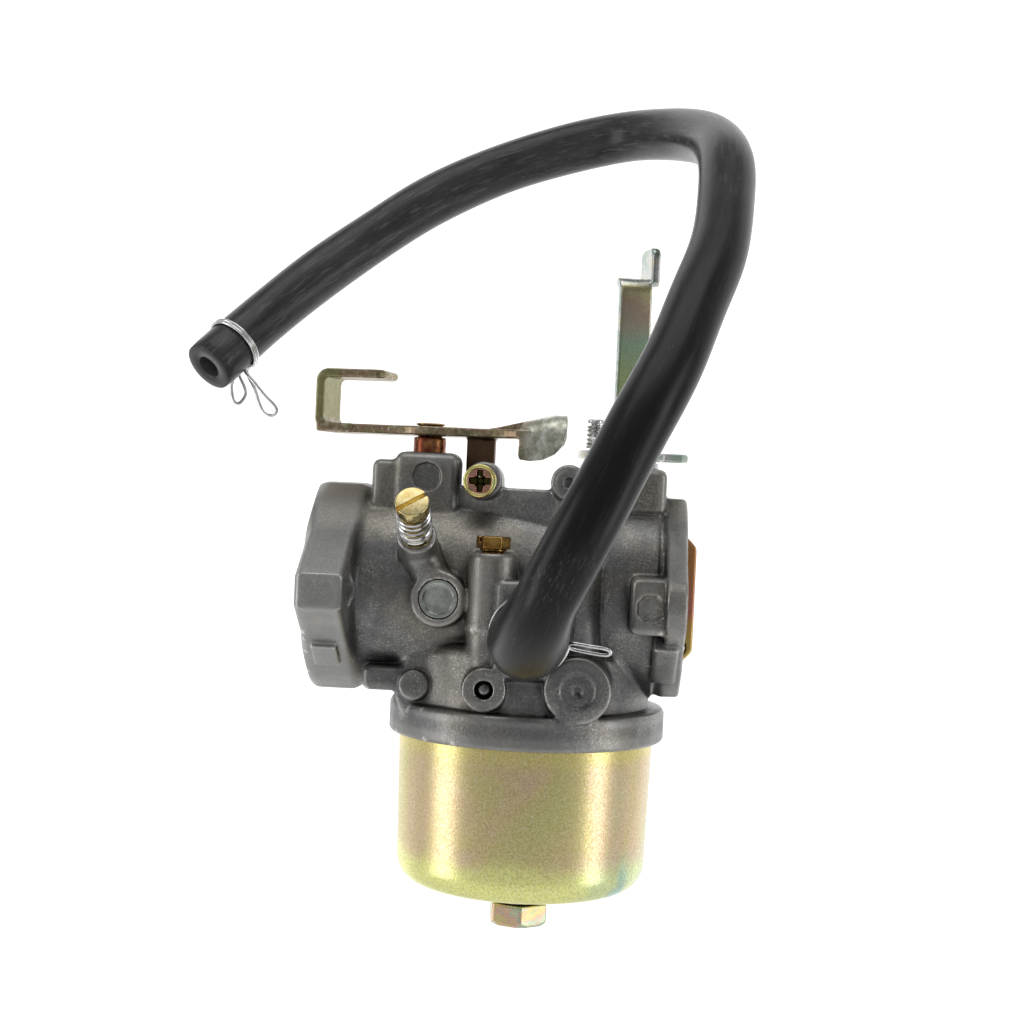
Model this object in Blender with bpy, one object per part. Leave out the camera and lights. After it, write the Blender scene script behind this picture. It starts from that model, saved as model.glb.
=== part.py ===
"""Float carburetor for a small utility engine, with its fuel hose.

Drawn in millimetres and stored in metres. The origin is the centre of the engine flange's face, on the
throttle bore. +X runs along the bore to the air-cleaner flange, +Z is up, and the fuel hose and the
adjusting screws are on the -Y side.
"""
from math import cos, pi, radians, sin, sqrt

import bmesh
import bpy
from mathutils import Matrix, Vector

MM = 0.001
GAP = 0.3                    # clearance between neighbouring pieces
X_AXIS, Y_AXIS, Z_AXIS = Vector((1, 0, 0)), Vector((0, 1, 0)), Vector((0, 0, 1))

# bore and flanges
BARREL_R = 17.8
THROTTLE_BORE_R = 9.5
VENTURI_R = 7.75
CHOKE_BORE_R = 15.7
VENTURI_X = (33.0, 36.5)
CHOKE_BORE_X = 44.1
ENGINE_FLANGE_T = 8.5
AIR_FLANGE_X = (63.2, 66.7)
FLANGE_REACH_Y = 29.0
FLANGE_TOP_Z = 18.4
FLANGE_BOTTOM_Z = -19.0
STUD_Y = 22.0
STUD_HOLE_R = 3.25

# shafts
SHAFT_R = 3.0
SHAFT_NECK_R = 2.2
BOSS_R = 5.9
THROTTLE_X = 19.1
THROTTLE_TOP_Z = 24.7        # top of the throttle shaft's boss
THROTTLE_LEVER_Z = 28.0      # underside of the throttle lever
THROTTLE_SHAFT_BOTTOM = -14.2
CHOKE_X = 57.2
CHOKE_TOP_Z = 23.4
CHOKE_LEVER_Z = 25.0
CHOKE_SHAFT_BOTTOM = -17.6
SHEET_T = 1.6                # lever sheet thickness
SHAFT_FLAT = 0.9             # the plate's flat on the shaft, from the shaft's axis
THROTTLE_REST_TURN = -10.0   # degrees, lever at idle
THROTTLE_PLATE_TURN = 20.0   # plate's normal from the lever's length
CHOKE_REST_TURN = 15.0       # lever with the choke open
CHOKE_PLATE_R = 15.3
CHOKE_PLATE_FLAT = 12.0
CHOKE_TRAVEL = 80.0

# float chamber
BOWL_X = 39.3
DOME_R = 22.0
RING_R = 25.25
RING_Z = (-26.0, -20.1)
CHAMBER_R = 20.6
CHAMBER_ROOF_Z = -18.8
GROOVE = (21.7, 23.7, -24.2)  # inner radius, outer radius, depth
BOWL_R = 23.3
BOWL_WALL = 0.9
BOWL_TOP_Z = -25.4
BOWL_FLOOR_Z = -53.4
COLUMN_R = 5.5
COLUMN_END_Z = -54.7
BOLT_TOP_Z = -43.5
JET_Z = (-40.2, -35.3)

# float and needle
NEEDLE_X = 40.5
NEEDLE_Y = -15.5
PIVOT = Vector((NEEDLE_X, -19.3, -22.6))
FLOAT_DROP = 8.0             # degrees below level when the bowl is dry
FLOAT_R = (9.0, 17.5)
PIN_R = 0.75

# fuel inlet
NIPPLE = Vector((NEEDLE_X, 0.0, -5.5))
NIPPLE_R = 3.0
NIPPLE_END_Y = -34.5

# front fittings
STOP_SCREW = Vector((29.8, 0.0, 20.0))
MIXTURE_BASE = Vector((19.8, -22.0, 10.2))
MIXTURE_AXIS = Vector((0.0, -cos(radians(32.5)), sin(radians(32.5))))
PLUG = Vector((23.9, 0.0, -0.8))
PILOT = Vector((33.0, -19.2, 0.0))
PILOT_TOP_Z = 7.6
VENT = Vector((32.7, 0.0, -15.9))
BIG_BOSS = Vector((48.8, 0.0, -15.2))
FRICTION_PIN = Vector((CHOKE_X - 7.6, 0.0, 0.0))

# fuel hose: the route's own points, from the nipple round to the free end
HOSE_R = 4.8
HOSE_ROUTE = [
    (40.2, -34.9, -5.8), (41.0, -42.0, -4.8), (44.0, -53.5, 2.5), (50.0, -57.0, 15.0),
    (56.0, -53.5, 28.0), (61.5, -46.5, 39.5), (65.5, -37.5, 50.5), (69.0, -27.5, 60.5),
    (70.5, -17.0, 70.3), (70.8, -6.0, 79.5), (68.7, 7.0, 85.7), (63.0, 20.0, 89.4),
    (53.0, 30.5, 90.8), (40.0, 34.5, 88.4), (26.5, 34.0, 83.5), (14.0, 30.5, 76.5),
    (3.0, 26.0, 68.0), (-7.0, 20.0, 59.0), (-16.0, 13.5, 49.5), (-24.1, 4.5, 39.3)]
CLIP_WIRE_R = 0.32
CLIP_PITCH = 1.3             # between the clip's two parallel wires

# colour, roughness, metallic
FINISHES = {
    "casting": ((0.30, 0.29, 0.28), 0.55, 0.8), "zinc": ((0.72, 0.62, 0.36), 0.35, 0.9),
    "bronze": ((0.40, 0.22, 0.10), 0.35, 0.9), "brass": ((0.80, 0.58, 0.24), 0.3, 1.0),
    "steel": ((0.75, 0.75, 0.74), 0.25, 1.0), "rubber": ((0.03, 0.03, 0.035), 0.5, 0.0),
    "plastic": ((0.12, 0.12, 0.12), 0.5, 0.0)}


# ---------------------------------------------------------------- making solids

def clear_scene():
    for obj in list(bpy.data.objects):
        bpy.data.objects.remove(obj)


def solid(bm, place=None):
    """Turn a mesh drawn in millimetres into an object in metres."""
    if place is not None:
        bm.transform(place)
    bmesh.ops.scale(bm, vec=(MM, MM, MM), verts=bm.verts)
    bmesh.ops.recalc_face_normals(bm, faces=bm.faces)
    mesh = bpy.data.meshes.new("draft")
    bm.to_mesh(mesh)
    bm.free()
    obj = bpy.data.objects.new("draft", mesh)
    bpy.context.scene.collection.objects.link(obj)
    return obj


def facing(at, axis):
    """The placement that puts local +Z along axis, with the local origin at a point."""
    return Matrix.Translation(at) @ Vector(axis).to_track_quat("Z", "Y").to_matrix().to_4x4()


def turned(profile, at=(0, 0, 0), axis=(0, 0, 1), sides=20, ring=False):
    """A turned solid from (radius, height) points. A ring's profile is a closed loop."""
    bm = bmesh.new()
    rows = []
    for radius, height in profile:
        count = sides if radius > 0 else 1
        turns = [2 * pi * (i + 0.5) / sides for i in range(count)]
        rows.append([bm.verts.new((radius * cos(a), radius * sin(a), height)) for a in turns])
    pairs = list(zip(rows, rows[1:]))
    if ring:
        pairs.append((rows[-1], rows[0]))
    for low, high in pairs:
        for i in range(sides):
            j = (i + 1) % sides
            quad = (low[i % len(low)], low[j % len(low)], high[j % len(high)], high[i % len(high)])
            corners = list(dict.fromkeys(quad))
            if len(corners) > 2:
                bm.faces.new(corners)
    if not ring:
        for row in (rows[0], rows[-1]):
            if len(row) > 2:
                bm.faces.new(row)
    return solid(bm, facing(Vector(at), axis))


def rod(start, end, radius, sides=20, end_radius=None):
    start, end = Vector(start), Vector(end)
    far = radius if end_radius is None else end_radius
    return turned([(radius, 0), (far, (end - start).length)], start, end - start, sides)


def block(low, high, bevel=0.0, segments=1):
    """A box between two corners, with its edges rounded by bevel."""
    bm = bmesh.new()
    bmesh.ops.create_cube(bm, size=1.0)
    low, high = Vector(low), Vector(high)
    bmesh.ops.scale(bm, vec=high - low, verts=bm.verts)
    if bevel:
        bmesh.ops.bevel(bm, geom=bm.edges[:], offset=bevel, segments=segments, affect="EDGES", profile=0.5)
    return solid(bm, Matrix.Translation((low + high) / 2))


def sheet(outline, normal, low, high):
    """An outline extruded along x, y or z between two positions."""
    order = {"x": (2, 0, 1), "y": (0, 2, 1), "z": (0, 1, 2)}[normal]
    bm = bmesh.new()
    verts = [bm.verts.new([(u, v, low)[k] for k in order]) for u, v in outline]
    face = bm.faces.new(verts)
    grown = bmesh.ops.extrude_face_region(bm, geom=[face])
    shift = Vector([(0, 0, high - low)[k] for k in order])
    moved = [item for item in grown["geom"] if isinstance(item, bmesh.types.BMVert)]
    bmesh.ops.translate(bm, vec=shift, verts=moved)
    return solid(bm)


def arc(centre, radius, start, end, count):
    """Points on an arc, with its angles in degrees."""
    turns = [radians(start + (end - start) * i / (count - 1)) for i in range(count)]
    return [(centre[0] + radius * cos(a), centre[1] + radius * sin(a)) for a in turns]


def apply_boolean(base, tool, operation):
    modifier = base.modifiers.new("shape", "BOOLEAN")
    modifier.operation = operation
    modifier.solver = "EXACT"
    modifier.object = tool
    graph = bpy.context.evaluated_depsgraph_get()
    mesh = bpy.data.meshes.new_from_object(base.evaluated_get(graph))
    base.modifiers.clear()
    base.data = mesh
    bpy.data.objects.remove(tool)


def joined(base, *pieces):
    for piece in pieces:
        apply_boolean(base, piece, "UNION")
    return base


def cut(base, *tools):
    for tool in tools:
        apply_boolean(base, tool, "DIFFERENCE")
    return base


def smooth_route(points, per_span):
    """Points on a Catmull-Rom curve through the given points."""
    given = [Vector(p) for p in points]
    ends = [2 * given[0] - given[1], *given, 2 * given[-1] - given[-2]]
    route = []
    for i in range(1, len(ends) - 2):
        a, b, c, d = ends[i - 1:i + 3]
        for k in range(per_span):
            t = k / per_span
            route.append(0.5 * (2 * b + (c - a) * t + (2 * a - 5 * b + 4 * c - d) * t ** 2
                                + (3 * b - a - 3 * c + d) * t ** 3))
    return [*route, given[-1]]


def tube(points, radius, resolution, closed=False):
    """A round wire or hose along points, as a curve with filled ends."""
    curve = bpy.data.curves.new("draft", "CURVE")
    curve.dimensions = "3D"
    curve.bevel_depth = radius * MM
    curve.bevel_resolution = resolution
    curve.use_fill_caps = True
    spline = curve.splines.new("POLY")
    spline.points.add(len(points) - 1)
    for slot, point in zip(spline.points, points):
        slot.co = (*(Vector(point) * MM), 1.0)
    spline.use_cyclic_u = closed
    obj = bpy.data.objects.new("draft", curve)
    bpy.context.scene.collection.objects.link(obj)
    return obj


def coil(at, axis, radius, length, turns, wire_r, per_turn=9):
    """An open helical spring that starts at a point and runs along axis."""
    count = int(turns * per_turn)
    place = facing(Vector(at), axis)
    points = []
    for i in range(count + 1):
        a = 2 * pi * turns * i / count
        points.append(place @ Vector((radius * cos(a), radius * sin(a), length * i / count)))
    return tube(points, wire_r, 1)


def named(obj, name, finish, smooth=True):
    obj.name = name
    obj.data.name = name
    colour, roughness, metallic = FINISHES[finish]
    material = bpy.data.materials.new(name)
    material.use_nodes = True
    shader = material.node_tree.nodes["Principled BSDF"]
    shader.inputs["Base Color"].default_value = (*colour, 1.0)
    shader.inputs["Roughness"].default_value = roughness
    shader.inputs["Metallic"].default_value = metallic
    obj.data.materials.clear()
    obj.data.materials.append(material)
    if smooth and obj.type == "MESH":
        obj.data.shade_smooth()
        obj.data.set_sharp_from_angle(angle=radians(35))
    return obj


def pivot(name, at, turn_z=0.0):
    empty = bpy.data.objects.new(name, None)
    empty.location = Vector(at) * MM
    empty.rotation_euler = (0, 0, radians(turn_z))
    bpy.context.scene.collection.objects.link(empty)
    return empty


def hang(obj, parent, turn_z=0.0):
    obj.parent = parent
    obj.rotation_euler = (0, 0, radians(turn_z))
    return obj


# ---------------------------------------------------------------- the casting

def flange_outline(bottom=FLANGE_BOTTOM_Z):
    """A stud flange seen along the bore: a lozenge with flat tips."""
    top = [(-FLANGE_REACH_Y, 3.0), (-4.5, FLANGE_TOP_Z), (4.5, FLANGE_TOP_Z), (FLANGE_REACH_Y, 3.0)]
    return [*top, (FLANGE_REACH_Y, -3.0), (4.5, bottom), (-4.5, bottom), (-FLANGE_REACH_Y, -3.0)]


def facet_pad(x_low, x_high, along, length, bottom):
    """A small pad on the flange's lower front facet, measured along it from the tip."""
    tip, foot = Vector((-FLANGE_REACH_Y, -3.0)), Vector((-4.5, bottom))
    way = (foot - tip).normalized()
    out = Vector((way.y, -way.x))
    corners = [tip + way * s + out * h
               for s, h in ((along, -2), (along, 0.9), (along + length, 0.9), (along + length, -2))]
    return sheet([tuple(c) for c in corners], "x", x_low, x_high)


def mixture_point(distance):
    """A point on the mixture screw's axis, measured outward from its boss's rim."""
    return MIXTURE_BASE + MIXTURE_AXIS * distance


def casting_outside():
    body = turned([(BARREL_R, 0.4), (BARREL_R, 60), (17.2, 66.3)], axis=X_AXIS, sides=36)
    air_bottom = FLANGE_BOTTOM_Z + 1.5
    ridge = [(22, -8.8), (43, -12.8), (50, -13.0), (60, -9.2), (60, -3), (22, -3)]
    joined(
        body,
        sheet(flange_outline(), "x", 0, ENGINE_FLANGE_T),
        sheet(flange_outline(air_bottom), "x", *AIR_FLANGE_X),
        facet_pad(1.6, 6.3, 12.1, 6.7, FLANGE_BOTTOM_Z),
        facet_pad(61.4, 65.8, 7.7, 13.5, air_bottom),
        block((57.3, -26, -5), (63.9, -12, 4.6), 1.2),
        block((57.3, 12, -5), (63.9, 26, 4.6), 1.2),
        # shaft bosses, their pads and the ridge that joins them
        rod((THROTTLE_X, 0, 8), (THROTTLE_X, 0, THROTTLE_TOP_Z), BOSS_R, 32),
        block((14.0, -11, 8), (25.6, -1, THROTTLE_TOP_Z), 1.4),
        block((9.9, -10.5, 14.0), (15, 10.5, 23.2), 1.4),
        sheet(ridge, "z", 6, 19.0),
        rod((CHOKE_X, 0, 8), (CHOKE_X, 0, CHOKE_TOP_Z), BOSS_R, 32),
        block((CHOKE_X - BOSS_R, -9, 12), (CHOKE_X + BOSS_R, -1, CHOKE_TOP_Z), 1.4),
        rod((FRICTION_PIN.x, 0, 14), (FRICTION_PIN.x, 0, 19.4), 2.8),
        # stop screw boss and the small lug beside the choke
        rod((STOP_SCREW.x, -12.5, STOP_SCREW.z), (STOP_SCREW.x, -4, STOP_SCREW.z), 3.6),
        block((STOP_SCREW.x - 2.8, -11.6, 12), (STOP_SCREW.x + 2.8, -4.2, 20.2), 0.8),
        rod((45.5, -14.0, 20.4), (45.5, -3.2, 20.4), 3.1),
        block((43.6, -13.2, 12), (47.4, -3.4, 20.2), 0.6),
        # mixture screw boss running down to the sealing plug's boss
        rod(mixture_point(-15), mixture_point(0), 3.5),
        rod((20.3, -17.6, 6.8), (PLUG.x - 0.9, -17.6, 1.8), 3.2),
        rod((PLUG.x, -11, PLUG.z), (PLUG.x, -20.8, PLUG.z), 4.7, 28),
        rod((PLUG.x, -15, PLUG.z), (30, -17, -3), 3.0),
        # columns over the pilot jet and the needle valve, and the fuel inlet's block
        turned([(4.2, -6), (4.2, 6.9), (3.7, PILOT_TOP_Z)], PILOT),
        rod((PILOT.x, PILOT.y, -3), (PILOT.x + 0.6, -17.0, -15), 4.15),
        turned([(5.6, -17), (4.5, -9), (4.4, 6.5), (3.2, 8)], (48.0, -16.5, 0)),
        block((34.0, -23.2, -15), (46.8, -9, 3.0), 2.4),
        # float chamber: dome, cover ring and the bosses on its front
        turned([(DOME_R, -21.0), (DOME_R, -9.4), (DOME_R - 1.2, -8.2)], (BOWL_X, 0, 0), sides=40),
        turned([(RING_R, RING_Z[0]), (RING_R, RING_Z[1])], (BOWL_X, 0, 0), sides=40),
        rod((VENT.x, -14, VENT.z), (VENT.x, -23.2, VENT.z), 3.9),
        rod((BIG_BOSS.x, -12, BIG_BOSS.z), (BIG_BOSS.x, -24.0, BIG_BOSS.z), 5.6, 28),
        rod((19.8, -6, -16.5), (19.8, -16, -16.5), 2.6),
        rod((22.2, -6, -17.3), (22.2, -14.4, -17.3), 6.0, 28),
        block((10.3, -15, -17.9), (20, 15, -13.5), 1.2),
        # back of the float chamber: overflow boss, column and rib
        rod((BOWL_X + 5, 12, -13), (BOWL_X + 5, 24.0, -13), 5.0),
        turned([(6, -21), (4.2, -10), (4.0, 3), (2.8, 4.5)], (30.5, 16.5, 0)),
        block((22, 13, -4), (50, 18.6, 0), 1.0))
    return body


def casting_passages(body):
    bore = [(THROTTLE_BORE_R, -2), (THROTTLE_BORE_R, 29.0), (VENTURI_R, VENTURI_X[0]),
            (VENTURI_R, VENTURI_X[1]), (CHOKE_BORE_R, CHOKE_BORE_X), (CHOKE_BORE_R, 69)]
    shaft_hole_r = SHAFT_R + GAP
    cut(
        body,
        turned(bore, axis=X_AXIS, sides=36),
        rod((THROTTLE_X, 0, THROTTLE_SHAFT_BOTTOM - 0.4), (THROTTLE_X, 0, 30), shaft_hole_r),
        rod((CHOKE_X, 0, CHOKE_SHAFT_BOTTOM - 0.3), (CHOKE_X, 0, 30), shaft_hole_r),
        rod((FRICTION_PIN.x, 0, 16.4), (FRICTION_PIN.x, 0, 21), 1.2, 16),
        rod((STOP_SCREW.x, -14, STOP_SCREW.z), (STOP_SCREW.x, -1, STOP_SCREW.z), 2.2, 20),
        rod(mixture_point(-12.6), mixture_point(1), 2.2, 20),
        rod((PLUG.x, -19.3, PLUG.z), (PLUG.x, -23, PLUG.z), 3.5, 28),
        rod((PILOT.x, PILOT.y, -3.2), (PILOT.x, PILOT.y, 12), 2.2, 20),
        rod((NIPPLE.x, -26, NIPPLE.z), (NIPPLE.x, -17.4, NIPPLE.z), NIPPLE_R + GAP),
        rod((NIPPLE.x, -18, NIPPLE.z), (NIPPLE.x, NEEDLE_Y, NIPPLE.z), 1.5, 16),
        rod((NEEDLE_X, NEEDLE_Y, -22), (NEEDLE_X, NEEDLE_Y, -9.1), 3.3),
        rod((NEEDLE_X, NEEDLE_Y, -10), (NEEDLE_X, NEEDLE_Y, -4.4), 1.3, 16),
        rod((VENT.x, -16.5, VENT.z), (VENT.x, -25, VENT.z), 1.6, 20),
        turned([(0, -22.9), (1.0, -24.5)], (BIG_BOSS.x, 0, BIG_BOSS.z), Y_AXIS, 16),
        rod((45.5, -13.0, 20.4), (45.5, -15, 20.4), 0.8, 12),
        rod((19.9, -10.65, 20.4), (19.9, -12, 20.4), 2.45, 24),
        rod((60.2, -25.7, -0.6), (60.2, -27, -0.6), 2.5, 24))
    for side in (-1, 1):
        cut(body,
            rod((-1, side * STUD_Y, 0), (ENGINE_FLANGE_T + 1, side * STUD_Y, 0), STUD_HOLE_R),
            rod((58.8, side * STUD_Y, 0), (68, side * STUD_Y, 0), 2.5, 20))


def casting_chamber(body):
    """Hollow the float chamber, then put back the main column and the float's lugs."""
    inner, outer, depth = GROOVE
    cut(
        body,
        turned([(CHAMBER_R, -28), (CHAMBER_R, CHAMBER_ROOF_Z)], (BOWL_X, 0, 0), sides=36),
        turned([(inner, -28), (outer, -28), (outer, depth), (inner, depth)], (BOWL_X, 0, 0),
               sides=36, ring=True),
        block((PIVOT.x - 3.7, -21.9, -29), (PIVOT.x + 3.7, -15, -20.2)))
    joined(
        body,
        rod((BOWL_X, 0, COLUMN_END_Z), (BOWL_X, 0, CHAMBER_ROOF_Z + 1), COLUMN_R),
        block((PIVOT.x - 6.1, -20.4, -24.6), (PIVOT.x - 3.9, -17, CHAMBER_ROOF_Z + 1)),
        block((PIVOT.x + 3.9, -20.4, -24.6), (PIVOT.x + 6.1, -17, CHAMBER_ROOF_Z + 1)))
    well = [(3.2, COLUMN_END_Z - 2), (3.2, -41.0), (2.4, -40.5), (2.4, -35.0), (2.3, -34.9), (2.3, -4.0)]
    cut(
        body,
        turned(well, (BOWL_X, 0, 0)),
        rod((BOWL_X - 8, 0, -42.2), (BOWL_X + 8, 0, -42.2), 1.2, 16),
        rod((PIVOT.x - 6.6, PIVOT.y, PIVOT.z), (PIVOT.x + 6.8, PIVOT.y, PIVOT.z), PIN_R + GAP, 16))


def carburetor_body():
    body = casting_outside()
    casting_passages(body)
    casting_chamber(body)
    return named(body, "carb_body", "casting")


# ---------------------------------------------------------------- bowl and fuel metering

def bowl_profile():
    """The bowl's section, outside first and then back up the inside."""
    low_r, corner = BOWL_R - 0.5, 4.5
    floor = BOWL_FLOOR_Z
    outside = [(BOWL_R, BOWL_TOP_Z),
               *[(low_r - corner + r, floor + corner + z) for r, z in arc((0, 0), corner, 0, -90, 4)],
               (10.4, floor - 0.3), (8.4, floor - 2.0), (3.3, floor - 2.4)]
    inside = [(3.3, floor - 2.4 + BOWL_WALL), (8.0, floor - 2.0 + BOWL_WALL),
              (9.9, floor - 0.3 + BOWL_WALL),
              *[(low_r - corner + r, floor + corner + z)
                for r, z in arc((0, 0), corner - BOWL_WALL, -90, 0, 4)],
              (BOWL_R - BOWL_WALL, BOWL_TOP_Z)]
    return outside + inside


def bowl_pieces():
    centre = (BOWL_X, 0, 0)
    bowl = turned(bowl_profile(), centre, sides=40, ring=True)
    named(bowl, "float_bowl", "zinc")
    gasket = turned([(22.0, -25.1), (23.4, -25.1), (23.4, -24.5), (22.0, -24.5)], centre, sides=28,
                    ring=True)
    named(gasket, "bowl_gasket", "rubber")
    under = BOWL_FLOOR_Z - 2.4
    washer = turned([(3.4, under - 1.1), (4.8, under - 1.1), (4.8, under - 0.3), (3.4, under - 0.3)],
                    centre, ring=True)
    named(washer, "bowl_bolt_washer", "zinc")
    head_top = under - 1.4
    hex_r = 5.0 / cos(pi / 6)
    head = turned([(hex_r - 0.7, -61.2), (hex_r, -60.5), (hex_r, head_top)], centre, sides=6)
    joined(head, rod((BOWL_X, 0, head_top - 1), (BOWL_X, 0, BOLT_TOP_Z), 2.9))
    named(head, "bowl_bolt", "zinc")


def metering_pieces():
    jet = turned([(0.6, JET_Z[0]), (2.1, JET_Z[0]), (2.1, JET_Z[1]), (0.6, JET_Z[1])], (BOWL_X, 0, 0),
                 sides=20, ring=True)
    named(jet, "main_jet", "brass")
    nozzle = turned([(0.9, -34.6), (2.0, -34.6), (2.0, -6.2), (1.5, -5.6), (0.9, -5.6)],
                    (BOWL_X, 0, 0), sides=20, ring=True)
    named(nozzle, "main_nozzle", "brass")
    pilot = turned([(0.4, -2.8), (1.9, -2.2), (1.9, PILOT_TOP_Z + 0.3), (2.9, PILOT_TOP_Z + 0.3),
                    (2.9, PILOT_TOP_Z + 2.6), (2.6, PILOT_TOP_Z + 2.9)], PILOT)
    cut(pilot, block((PILOT.x - 4, PILOT.y - 0.4, 9.3), (PILOT.x + 4, PILOT.y + 0.4, 12)))
    named(pilot, "pilot_jet", "brass")
    plug = turned([(3.15, 0), (3.15, 0.5), (2.0, 0.9), (0, 1.0)], (PLUG.x, -19.6, PLUG.z), -Y_AXIS, 28)
    named(plug, "sealing_plug", "steel")
    ball = turned([(0, -1.05), *arc((0, 0), 1.05, -60, 60, 5), (0, 1.05)], (VENT.x, -22.2, VENT.z),
                  Y_AXIS, 16)
    named(ball, "passage_plug_ball", "steel")


def float_pieces():
    seat = turned([(2.2, -18.5), (3.0, -18.5), (3.0, -9.4), (0.9, -9.4), (0.9, -12.0), (2.2, -13.4)],
                  (NEEDLE_X, NEEDLE_Y, 0), ring=True)
    named(seat, "needle_seat", "brass")
    pin = rod((PIVOT.x - 6.3, PIVOT.y, PIVOT.z), (PIVOT.x + 6.5, PIVOT.y, PIVOT.z), PIN_R, 12)
    named(pin, "float_pin", "steel")
    needle = turned([(1.6, 0), (1.9, 0.4), (1.9, 6.7), (0.4, 8.4), (0, 8.5)], sides=16)
    needle.location = Vector((NEEDLE_X, NEEDLE_Y, -21.54)) * MM
    named(needle, "needle_valve", "brass")

    # drawn level about its hinge, then dropped as in a dry bowl
    inner, outer = FLOAT_R
    middle = (BOWL_X - PIVOT.x, -PIVOT.y, 0)
    body = turned([(inner, -18.4), (outer - 1, -18.4), (outer, -17.4), (outer, -6.4), (outer - 1, -5.4),
                   (inner, -5.4)], middle, sides=40, ring=True)
    joined(body,
           block((-3.3, 3.5, -6.4), (3.3, 9.5, 1.25)),
           block((-3.3, 0.0, -0.2), (3.3, 9.0, 1.3)),
           rod((-3.3, 0, 0), (3.3, 0, 0), 2.0, 20))
    cut(body, rod((-5, 0, 0), (5, 0, 0), PIN_R + GAP, 16))
    body.location = PIVOT * MM
    body.rotation_euler = (radians(-FLOAT_DROP), 0, 0)
    named(body, "float", "plastic")


def inlet_pieces():
    y = [-17.8, -23.5, -24.9, NIPPLE_END_Y + 3.4, NIPPLE_END_Y + 3.0, NIPPLE_END_Y]
    profile = [(1.5, -y[0]), (NIPPLE_R, -y[0]), (NIPPLE_R, -y[1]), (4.3, -y[1]), (4.3, -y[2]),
               (2.7, -y[2]), (2.7, -y[3]), (3.3, -y[4]), (2.6, -y[5]), (1.5, -y[5])]
    nipple = turned(profile, NIPPLE, -Y_AXIS, ring=True)
    named(nipple, "fuel_nipple", "steel")


# ---------------------------------------------------------------- shafts, plates and levers

def shaft(bottom, lever_z, half_cut):
    """A shaft with a flat for its plate, a neck through its lever and a staked head."""
    body = turned([(SHAFT_R, bottom), (SHAFT_R, lever_z - GAP), (SHAFT_NECK_R, lever_z - GAP),
                   (SHAFT_NECK_R, lever_z + SHEET_T + GAP), (SHAFT_R, lever_z + SHEET_T + GAP),
                   (SHAFT_R, lever_z + SHEET_T + 0.9)])
    return cut(body, block((-SHAFT_FLAT, -5, -half_cut), (5, 5, half_cut)))


def plate_screw(height):
    """A screw along local X that holds a plate to its shaft's flat."""
    head = turned([(1.4, -2.7), (1.4, 0.9), (2.3, 0.9), (2.3, 1.7), (1.6, 2.1)], (0, 0, height), X_AXIS, 16)
    return cut(head, block((1.7, -0.3, height - 3), (3, 0.3, height + 3)))


def throttle_lever():
    """A strip on the shaft with a hook at its left, a stop tab and a spoon at its right."""
    low, high = THROTTLE_LEVER_Z, THROTTLE_LEVER_Z + SHEET_T
    left, hook_top = -21.0, 39.7
    strip = [(left + 1, -5), (-5, -5), *arc((0, 0), 6.2, 235, 300, 5), (9, -4.8), (22.5, -4.8),
             (25.3, -3.4), (26.3, -1.5), (25.0, 1.2), (21, 2.1), (9, 2.1), *arc((0, 0), 6.2, 35, 125, 6),
             (-5, 5), (left + 1, 5)]
    hook = [(left + 3, low), *arc((left + 2, low + 2), 2, 270, 180, 4),
            *arc((left + 2, hook_top - 2), 2, 180, 90, 4), (-7.0, hook_top), (-7.0, hook_top - SHEET_T),
            (left + 2.2, hook_top - SHEET_T), (left + SHEET_T, hook_top - 2.2),
            (left + SHEET_T, low + 2.2), (left + 2.2, high), (left + 3, high)]
    spoon = [(17.4, high), (17.9, 24.4), (18.9, 23.5), (21.6, 23.6), (24.0, 24.6), (25.8, 26.3),
             (26.6, 28.2), (26.2, high)]
    lever = sheet(strip, "z", low, high)
    joined(lever,
           sheet(hook, "y", -5, 5),
           sheet(spoon, "y", -4.8, -4.8 + SHEET_T),
           block((7.9, 0.5, 18.4), (12.9, 0.5 + SHEET_T, high - 0.1)))
    cut(lever, rod((0, 0, 20), (0, 0, 35), SHAFT_NECK_R + GAP, 20))
    return lever


def choke_lever():
    """A sector plate with an arc slot, and an arm that stands up behind the shaft."""
    low, high = CHOKE_LEVER_Z, CHOKE_LEVER_Z + SHEET_T
    pin_rest = 180 - CHOKE_REST_TURN
    plate = [*arc((0, 0), 10.6, pin_rest - 15, pin_rest + CHOKE_TRAVEL + 15, 11),
             *arc((0, 0), 5.4, 275, 325, 4), (8.2, -3.0), (9.6, -1.6), (9.6, 1.6), (8.2, 3.0), (5.0, 3.2),
             (4.6, 6.1), (-4.6, 6.1), (-5.4, 4.6)]
    slot_r, slot_half = -FRICTION_PIN.x + CHOKE_X, 1.2
    margin = 9.5
    slot = [*arc((0, 0), slot_r + slot_half, pin_rest - margin, pin_rest + CHOKE_TRAVEL + margin, 10),
            *arc((0, 0), slot_r - slot_half, pin_rest + CHOKE_TRAVEL + margin, pin_rest - margin, 10)]
    arm_top = 59.3
    lever = sheet(plate, "z", low, high)
    joined(lever,
           block((-3.1, 4.3, low + 0.1), (3.1, 6.0, arm_top - 0.1)),
           sheet([(4.3, arm_top - SHEET_T), (4.3, arm_top - 1.2), (5.5, arm_top), (13, arm_top),
                  (13, arm_top - SHEET_T)], "x", -3.1, 3.1),
           sheet([(4.9, arm_top - SHEET_T + 0.1), (4.9, 62.5), (7.6, 65.3), (11.0, 65.3), (12.9, 63.0),
                  (12.9, arm_top - SHEET_T + 0.1)], "x", 3.0, 4.6))
    cut(lever,
        rod((0, 0, 20), (0, 0, 30), SHAFT_NECK_R + GAP, 20),
        sheet(slot, "z", low - 1, high + 1),
        sheet([(-3.4, 6.6), (-3.4, 14), (-0.4, 14)], "z", arm_top - 3, arm_top + 1))
    return lever


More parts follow.
